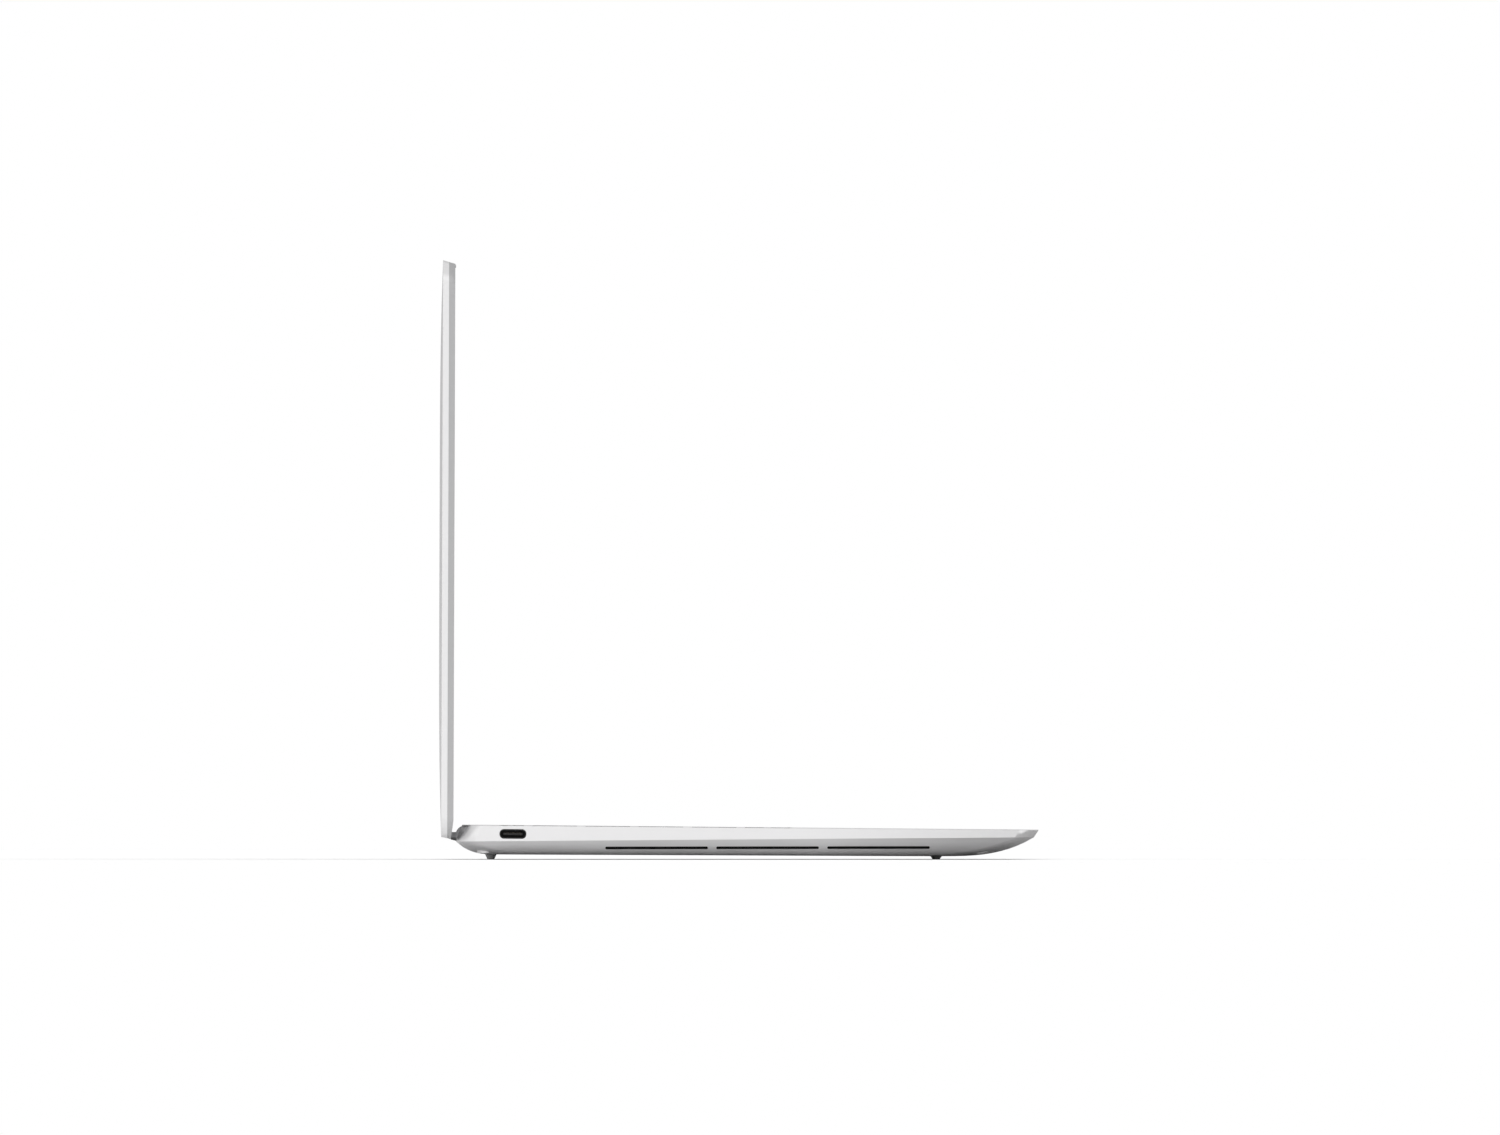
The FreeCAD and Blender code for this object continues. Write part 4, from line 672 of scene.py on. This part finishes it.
class LAPTOP_OT_sockets(bpy.types.Operator):
    """Finishes the side sockets and adds their contacts"""

    bl_idname = "laptop.sockets"
    bl_label = "Sockets"

    def execute(self, context):
        # Shell and tongue share one near-black finish: the tongue's black plastic is real, the shell's black is
        # painted shade of the opening.
        shell = grained("socket_painted_shade", (0.012, 0.012, 0.013), metallic=0.0, rough=0.5, grain=1500, bump=0.08,
                        shade=0.15, stretch=(0.1, 1, 1))
        dress(shell, "left_socket", "right_socket")
        gold = grained("contact_gold", (0.5, 0.4, 0.24), metallic=1.0, rough=0.3, grain=4000, bump=0.05, shade=0.06)
        for side, node in ((-1, "left_socket"), (1, "right_socket")):
            low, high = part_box(node)
            middle = (low + high) / 2
            mouth = (low if side < 0 else high).x
            where = DECK.inverted() @ Vector((mouth, middle.y, middle.z))
            spots = []
            for face in (-1, 1):
                for k in range(CONTACT_COUNT):
                    across = (k - (CONTACT_COUNT - 1) / 2) * CONTACT_PITCH
                    spot = (where.x - side * CONTACT_INWARD, where.y + across, where.z + face * CONTACT_LEVEL)
                    spots.append(DECK @ Matrix.Translation(spot))
            finished(joined(copies(self.contact(), spots), node + "_contacts"), gold, "base")
        return {"FINISHED"}

    def contact(self):
        """One flat contact with softened edges."""
        start_clean()
        bpy.ops.mesh.primitive_cube_add(size=1)
        piece = bpy.context.object
        placed(piece, Matrix.Diagonal((*CONTACT_SIZE, 1)))
        bpy.ops.object.mode_set(mode="EDIT")
        bpy.ops.mesh.select_all(action="SELECT")
        bpy.ops.mesh.bevel(offset=CONTACT_EDGE, segments=1)
        bpy.ops.object.mode_set(mode="OBJECT")
        return piece


class LAPTOP_OT_screens(bpy.types.Operator):
    """Adds the dust screens behind the speaker slots"""

    bl_idname = "laptop.screens"
    bl_label = "Speaker screens"

    def execute(self, context):
        cloth = woven_cloth()
        for side, name in ((-1, "left_speaker_screen"), (1, "right_speaker_screen")):
            place = DECK @ Matrix.Translation((side * SCREEN_SIDE, -SCREEN_AHEAD, -SCREEN_DROP))
            turned = place @ Matrix.Rotation(side * math.pi / 2, 4, "Y")
            finished(joined(copies(self.screen(), [turned]), name), cloth, "base")
        return {"FINISHED"}

    def screen(self):
        """A long gasket with its cloth set back, lying flat with the cloth up."""
        start_clean()
        bpy.ops.mesh.primitive_cube_add(size=1)
        piece = placed(bpy.context.object, Matrix.Diagonal((*SCREEN_SIZE, 1)))
        select_faces(faces_up)
        bpy.ops.mesh.inset(thickness=SCREEN_RIM)
        extruded(-SCREEN_RECESS)
        bpy.ops.object.mode_set(mode="OBJECT")
        return piece


class LAPTOP_OT_hardware(bpy.types.Operator):
    """Finishes hinges, screws, feet and bumper"""

    bl_idname = "laptop.hardware"
    bl_label = "Hinges, screws and feet"

    def execute(self, context):
        finish = context.scene.laptop_finish
        steel = grained("hinge_steel", (0.42, 0.42, 0.43), metallic=1.0, rough=0.34, grain=900, bump=0.1, shade=0.08,
                        stretch=(0.05, 1, 1))
        dress(steel, "left_hinge_bracket", "right_hinge_bracket", "left_hinge_leaf", "right_hinge_leaf",
              "left_hinge_pin", "right_hinge_pin", "hinge_screws", "touchpad_bracket", "keyboard_backplate")
        screw = grained("screw_steel", (0.3, 0.3, 0.31), metallic=1.0, rough=0.3, grain=2500, bump=0.1, shade=0.1)
        dress(screw, "base_cover_screws")
        rubber = grained("foot_rubber", finish.rubber, metallic=0.0, rough=0.8, grain=1600, bump=0.5, shade=0.15,
                         Specular_IOR_Level=0.25)
        dress(rubber, "rear_foot", "front_foot", "lid_bumper")
        return {"FINISHED"}


class LAPTOP_OT_inside(bpy.types.Operator):
    """Finishes what the shells enclose"""

    bl_idname = "laptop.inside"
    bl_label = "Inside"

    def execute(self, context):
        dress(circuit_board(), "mainboard", "side_board")
        epoxy = grained("chip_epoxy", (0.02, 0.02, 0.021), metallic=0.0, rough=0.42, grain=2200, bump=0.2, shade=0.25)
        dress(epoxy, "board_chips")
        copper = grained("heat_copper", (0.7, 0.36, 0.22), metallic=1.0, rough=0.34, grain=700, bump=0.1, shade=0.14)
        dress(copper, "heat_pipe")
        fins = grained("fin_aluminium", (0.55, 0.55, 0.56), metallic=1.0, rough=0.4, grain=1600, bump=0.08, shade=0.06)
        dress(fins, "fin_stack")
        plastic = grained("black_moulding", (0.022, 0.022, 0.023), metallic=0.0, rough=0.55, grain=1500, bump=0.3,
                          shade=0.2)
        dress(plastic, "fan_housing", "fan_rotor", "left_speaker", "right_speaker")
        film = grained("cell_film", (0.03, 0.03, 0.033), metallic=0.0, rough=0.4, grain=260, bump=0.3, shade=0.3,
                       Coat_Weight=0.2)
        dress(film, "battery_pack")
        dress(ribbon_film(), "display_cable")
        return {"FINISHED"}


class LAPTOP_OT_studio(bpy.types.Operator):
    """Makes the floor, the light and the camera"""

    bl_idname = "laptop.studio"
    bl_label = "Studio"

    def execute(self, context):
        studio = context.scene.laptop_studio
        context.scene.view_settings.view_transform = "Standard"
        self.floor(studio)
        self.surroundings(context.scene, studio)
        self.lamp("key_light", (-1.5, -0.9, 1.7), studio.key)
        self.lamp("fill_light", (1.2, -1.6, 1.3), studio.fill)
        self.lamp("rear_light", (0.3, 1.8, 1.5), studio.fill)
        self.camera(context.scene, studio)
        return {"FINISHED"}

    def floor(self, studio):
        """A wide pale floor that the metal mirrors greyer, as painted shade, most of all ahead of the laptop."""
        start_clean()
        bpy.ops.mesh.primitive_plane_add(size=FLOOR_SIZE)
        floor = bpy.context.object
        floor.name = "studio_floor"
        paper = grained("floor_paper", studio.floor, metallic=0.0, rough=0.9, grain=300, bump=0.02, shade=0.004,
                        Specular_IOR_Level=0.0)
        floor.data.materials.append(paper)
        tree = paper.node_tree
        # Glossy rays see the floor in a darker tone that falls ahead of the laptop: painted shade in its reflection.
        ahead = along_axes(tree, tree.nodes["Texture Coordinate"].outputs["Object"])["Y"]
        tone = ranged(tree, ahead, -studio.mirror_start, -studio.mirror_end, studio.mirror, studio.mirror_front)
        mirrored = tree.nodes.new("ShaderNodeBsdfDiffuse")
        tree.links.new(tone, mirrored.inputs["Color"])
        glossy = tree.nodes.new("ShaderNodeLightPath").outputs["Is Glossy Ray"]
        both = mixed(tree, glossy, tree.nodes["Principled BSDF"].outputs["BSDF"], mirrored.outputs["BSDF"])
        tree.links.new(both, tree.nodes["Material Output"].inputs["Surface"])

    def surroundings(self, scene, studio):
        """White to the eye, a grey room to mirrors, and a softer white light to everything else."""
        world = bpy.data.worlds.new("studio")
        scene.world = world
        world.use_nodes = True
        tree = world.node_tree
        tree.nodes.clear()
        path = tree.nodes.new("ShaderNodeLightPath").outputs
        seen = path["Is Camera Ray"]
        for ray in ("Is Glossy Ray", "Is Transmission Ray"):
            seen = combined(tree, "MAXIMUM", seen, path[ray])
        white = tree.nodes.new("ShaderNodeBackground")
        ambient = tree.nodes.new("ShaderNodeBackground")
        for light in (white, ambient):
            light.inputs["Color"].default_value = (1, 1, 1, 1)
        ambient.inputs["Strength"].default_value = studio.ambient
        tree.links.new(self.seen_strength(tree, path["Is Glossy Ray"]), white.inputs["Strength"])
        both = mixed(tree, seen, ambient.outputs["Background"], white.outputs["Background"])
        tree.links.new(both, tree.nodes.new("ShaderNodeOutputWorld").inputs["Surface"])

    def seen_strength(self, tree, glossy):
        """Full to the eye; mirrors see grey walls, a lighter ceiling and a bright wall on the left."""
        way = along_axes(tree, tree.nodes.new("ShaderNodeTexCoord").outputs["Generated"])
        lights = [ranged(tree, way[axis], start, end, 0, most) for axis, start, end, most in MIRROR_LIGHTS]
        level = ranged(tree, combined(tree, "MAXIMUM", *lights), 0, 1, MIRROR_SHADE, 1)
        made = tree.nodes.new("ShaderNodeMix")
        made.inputs["A"].default_value = 1.0
        tree.links.new(glossy, made.inputs["Factor"])
        tree.links.new(level, made.inputs["B"])
        return made.outputs["Result"]
    def lamp(self, name, place, strength):
        """A wide soft light from one side; metal and glass mirror the surroundings instead."""
        start_clean()
        bpy.ops.object.light_add(type="SUN", location=place)
        lamp = bpy.context.object
        lamp.name = name
        lamp.data.angle = LAMP_SPREAD
        lamp.data.energy = strength
        lamp.visible_glossy = False
        aim = LAMP_TARGET - Vector(place)
        lamp.rotation_euler = aim.to_track_quat("-Z", "Y").to_euler()

    def camera(self, scene, studio):
        """A level camera that looks at the laptop's left side."""
        start_clean()
        bpy.ops.object.camera_add(
            location=(-CAMERA_AWAY, studio.middle_y, studio.middle_z + CAMERA_AWAY * math.tan(studio.rise)),
            rotation=(math.pi / 2 - studio.rise, 0, -math.pi / 2))
        camera = bpy.context.object
        camera.data.type = "ORTHO"
        camera.data.ortho_scale = studio.width
        camera.data.clip_end = CAMERA_REACH
        scene.camera = camera


OPERATORS = (LAPTOP_OT_shells, LAPTOP_OT_keyboard, LAPTOP_OT_touchpad, LAPTOP_OT_display, LAPTOP_OT_sockets,
             LAPTOP_OT_screens, LAPTOP_OT_hardware, LAPTOP_OT_inside, LAPTOP_OT_studio)
SETTINGS = {"laptop_finish": LaptopFinish, "laptop_sizes": LaptopSizes, "laptop_studio": LaptopStudio}


class LAPTOP_PT_looks(bpy.types.Panel):
    """Lists the settings and the steps"""

    bl_idname = "LAPTOP_PT_looks"
    bl_label = "Laptop"
    bl_space_type = "VIEW_3D"
    bl_region_type = "UI"
    bl_category = "Laptop"

    def draw(self, context):
        for name, group in SETTINGS.items():
            for setting in group.__annotations__:
                self.layout.prop(getattr(context.scene, name), setting)
        for operator in OPERATORS:
            self.layout.operator(operator.bl_idname)


CLASSES = (*SETTINGS.values(), *OPERATORS, LAPTOP_PT_looks)


def register():
    """Makes the settings, the steps and the panel known to Blender."""
    for kind in CLASSES:
        bpy.utils.register_class(kind)
    for name, group in SETTINGS.items():
        setattr(bpy.types.Scene, name, PointerProperty(type=group))


def unregister():
    """Takes them away again."""
    for name in SETTINGS:
        delattr(bpy.types.Scene, name)
    for kind in reversed(CLASSES):
        bpy.utils.unregister_class(kind)


def main():
    """Runs every step in order."""
    register()
    bpy.ops.laptop.shells()
    bpy.ops.laptop.keyboard()
    bpy.ops.laptop.touchpad()
    bpy.ops.laptop.display()
    bpy.ops.laptop.sockets()
    bpy.ops.laptop.screens()
    bpy.ops.laptop.hardware()
    bpy.ops.laptop.inside()
    bpy.ops.laptop.studio()


if __name__ == "__main__":
    main()
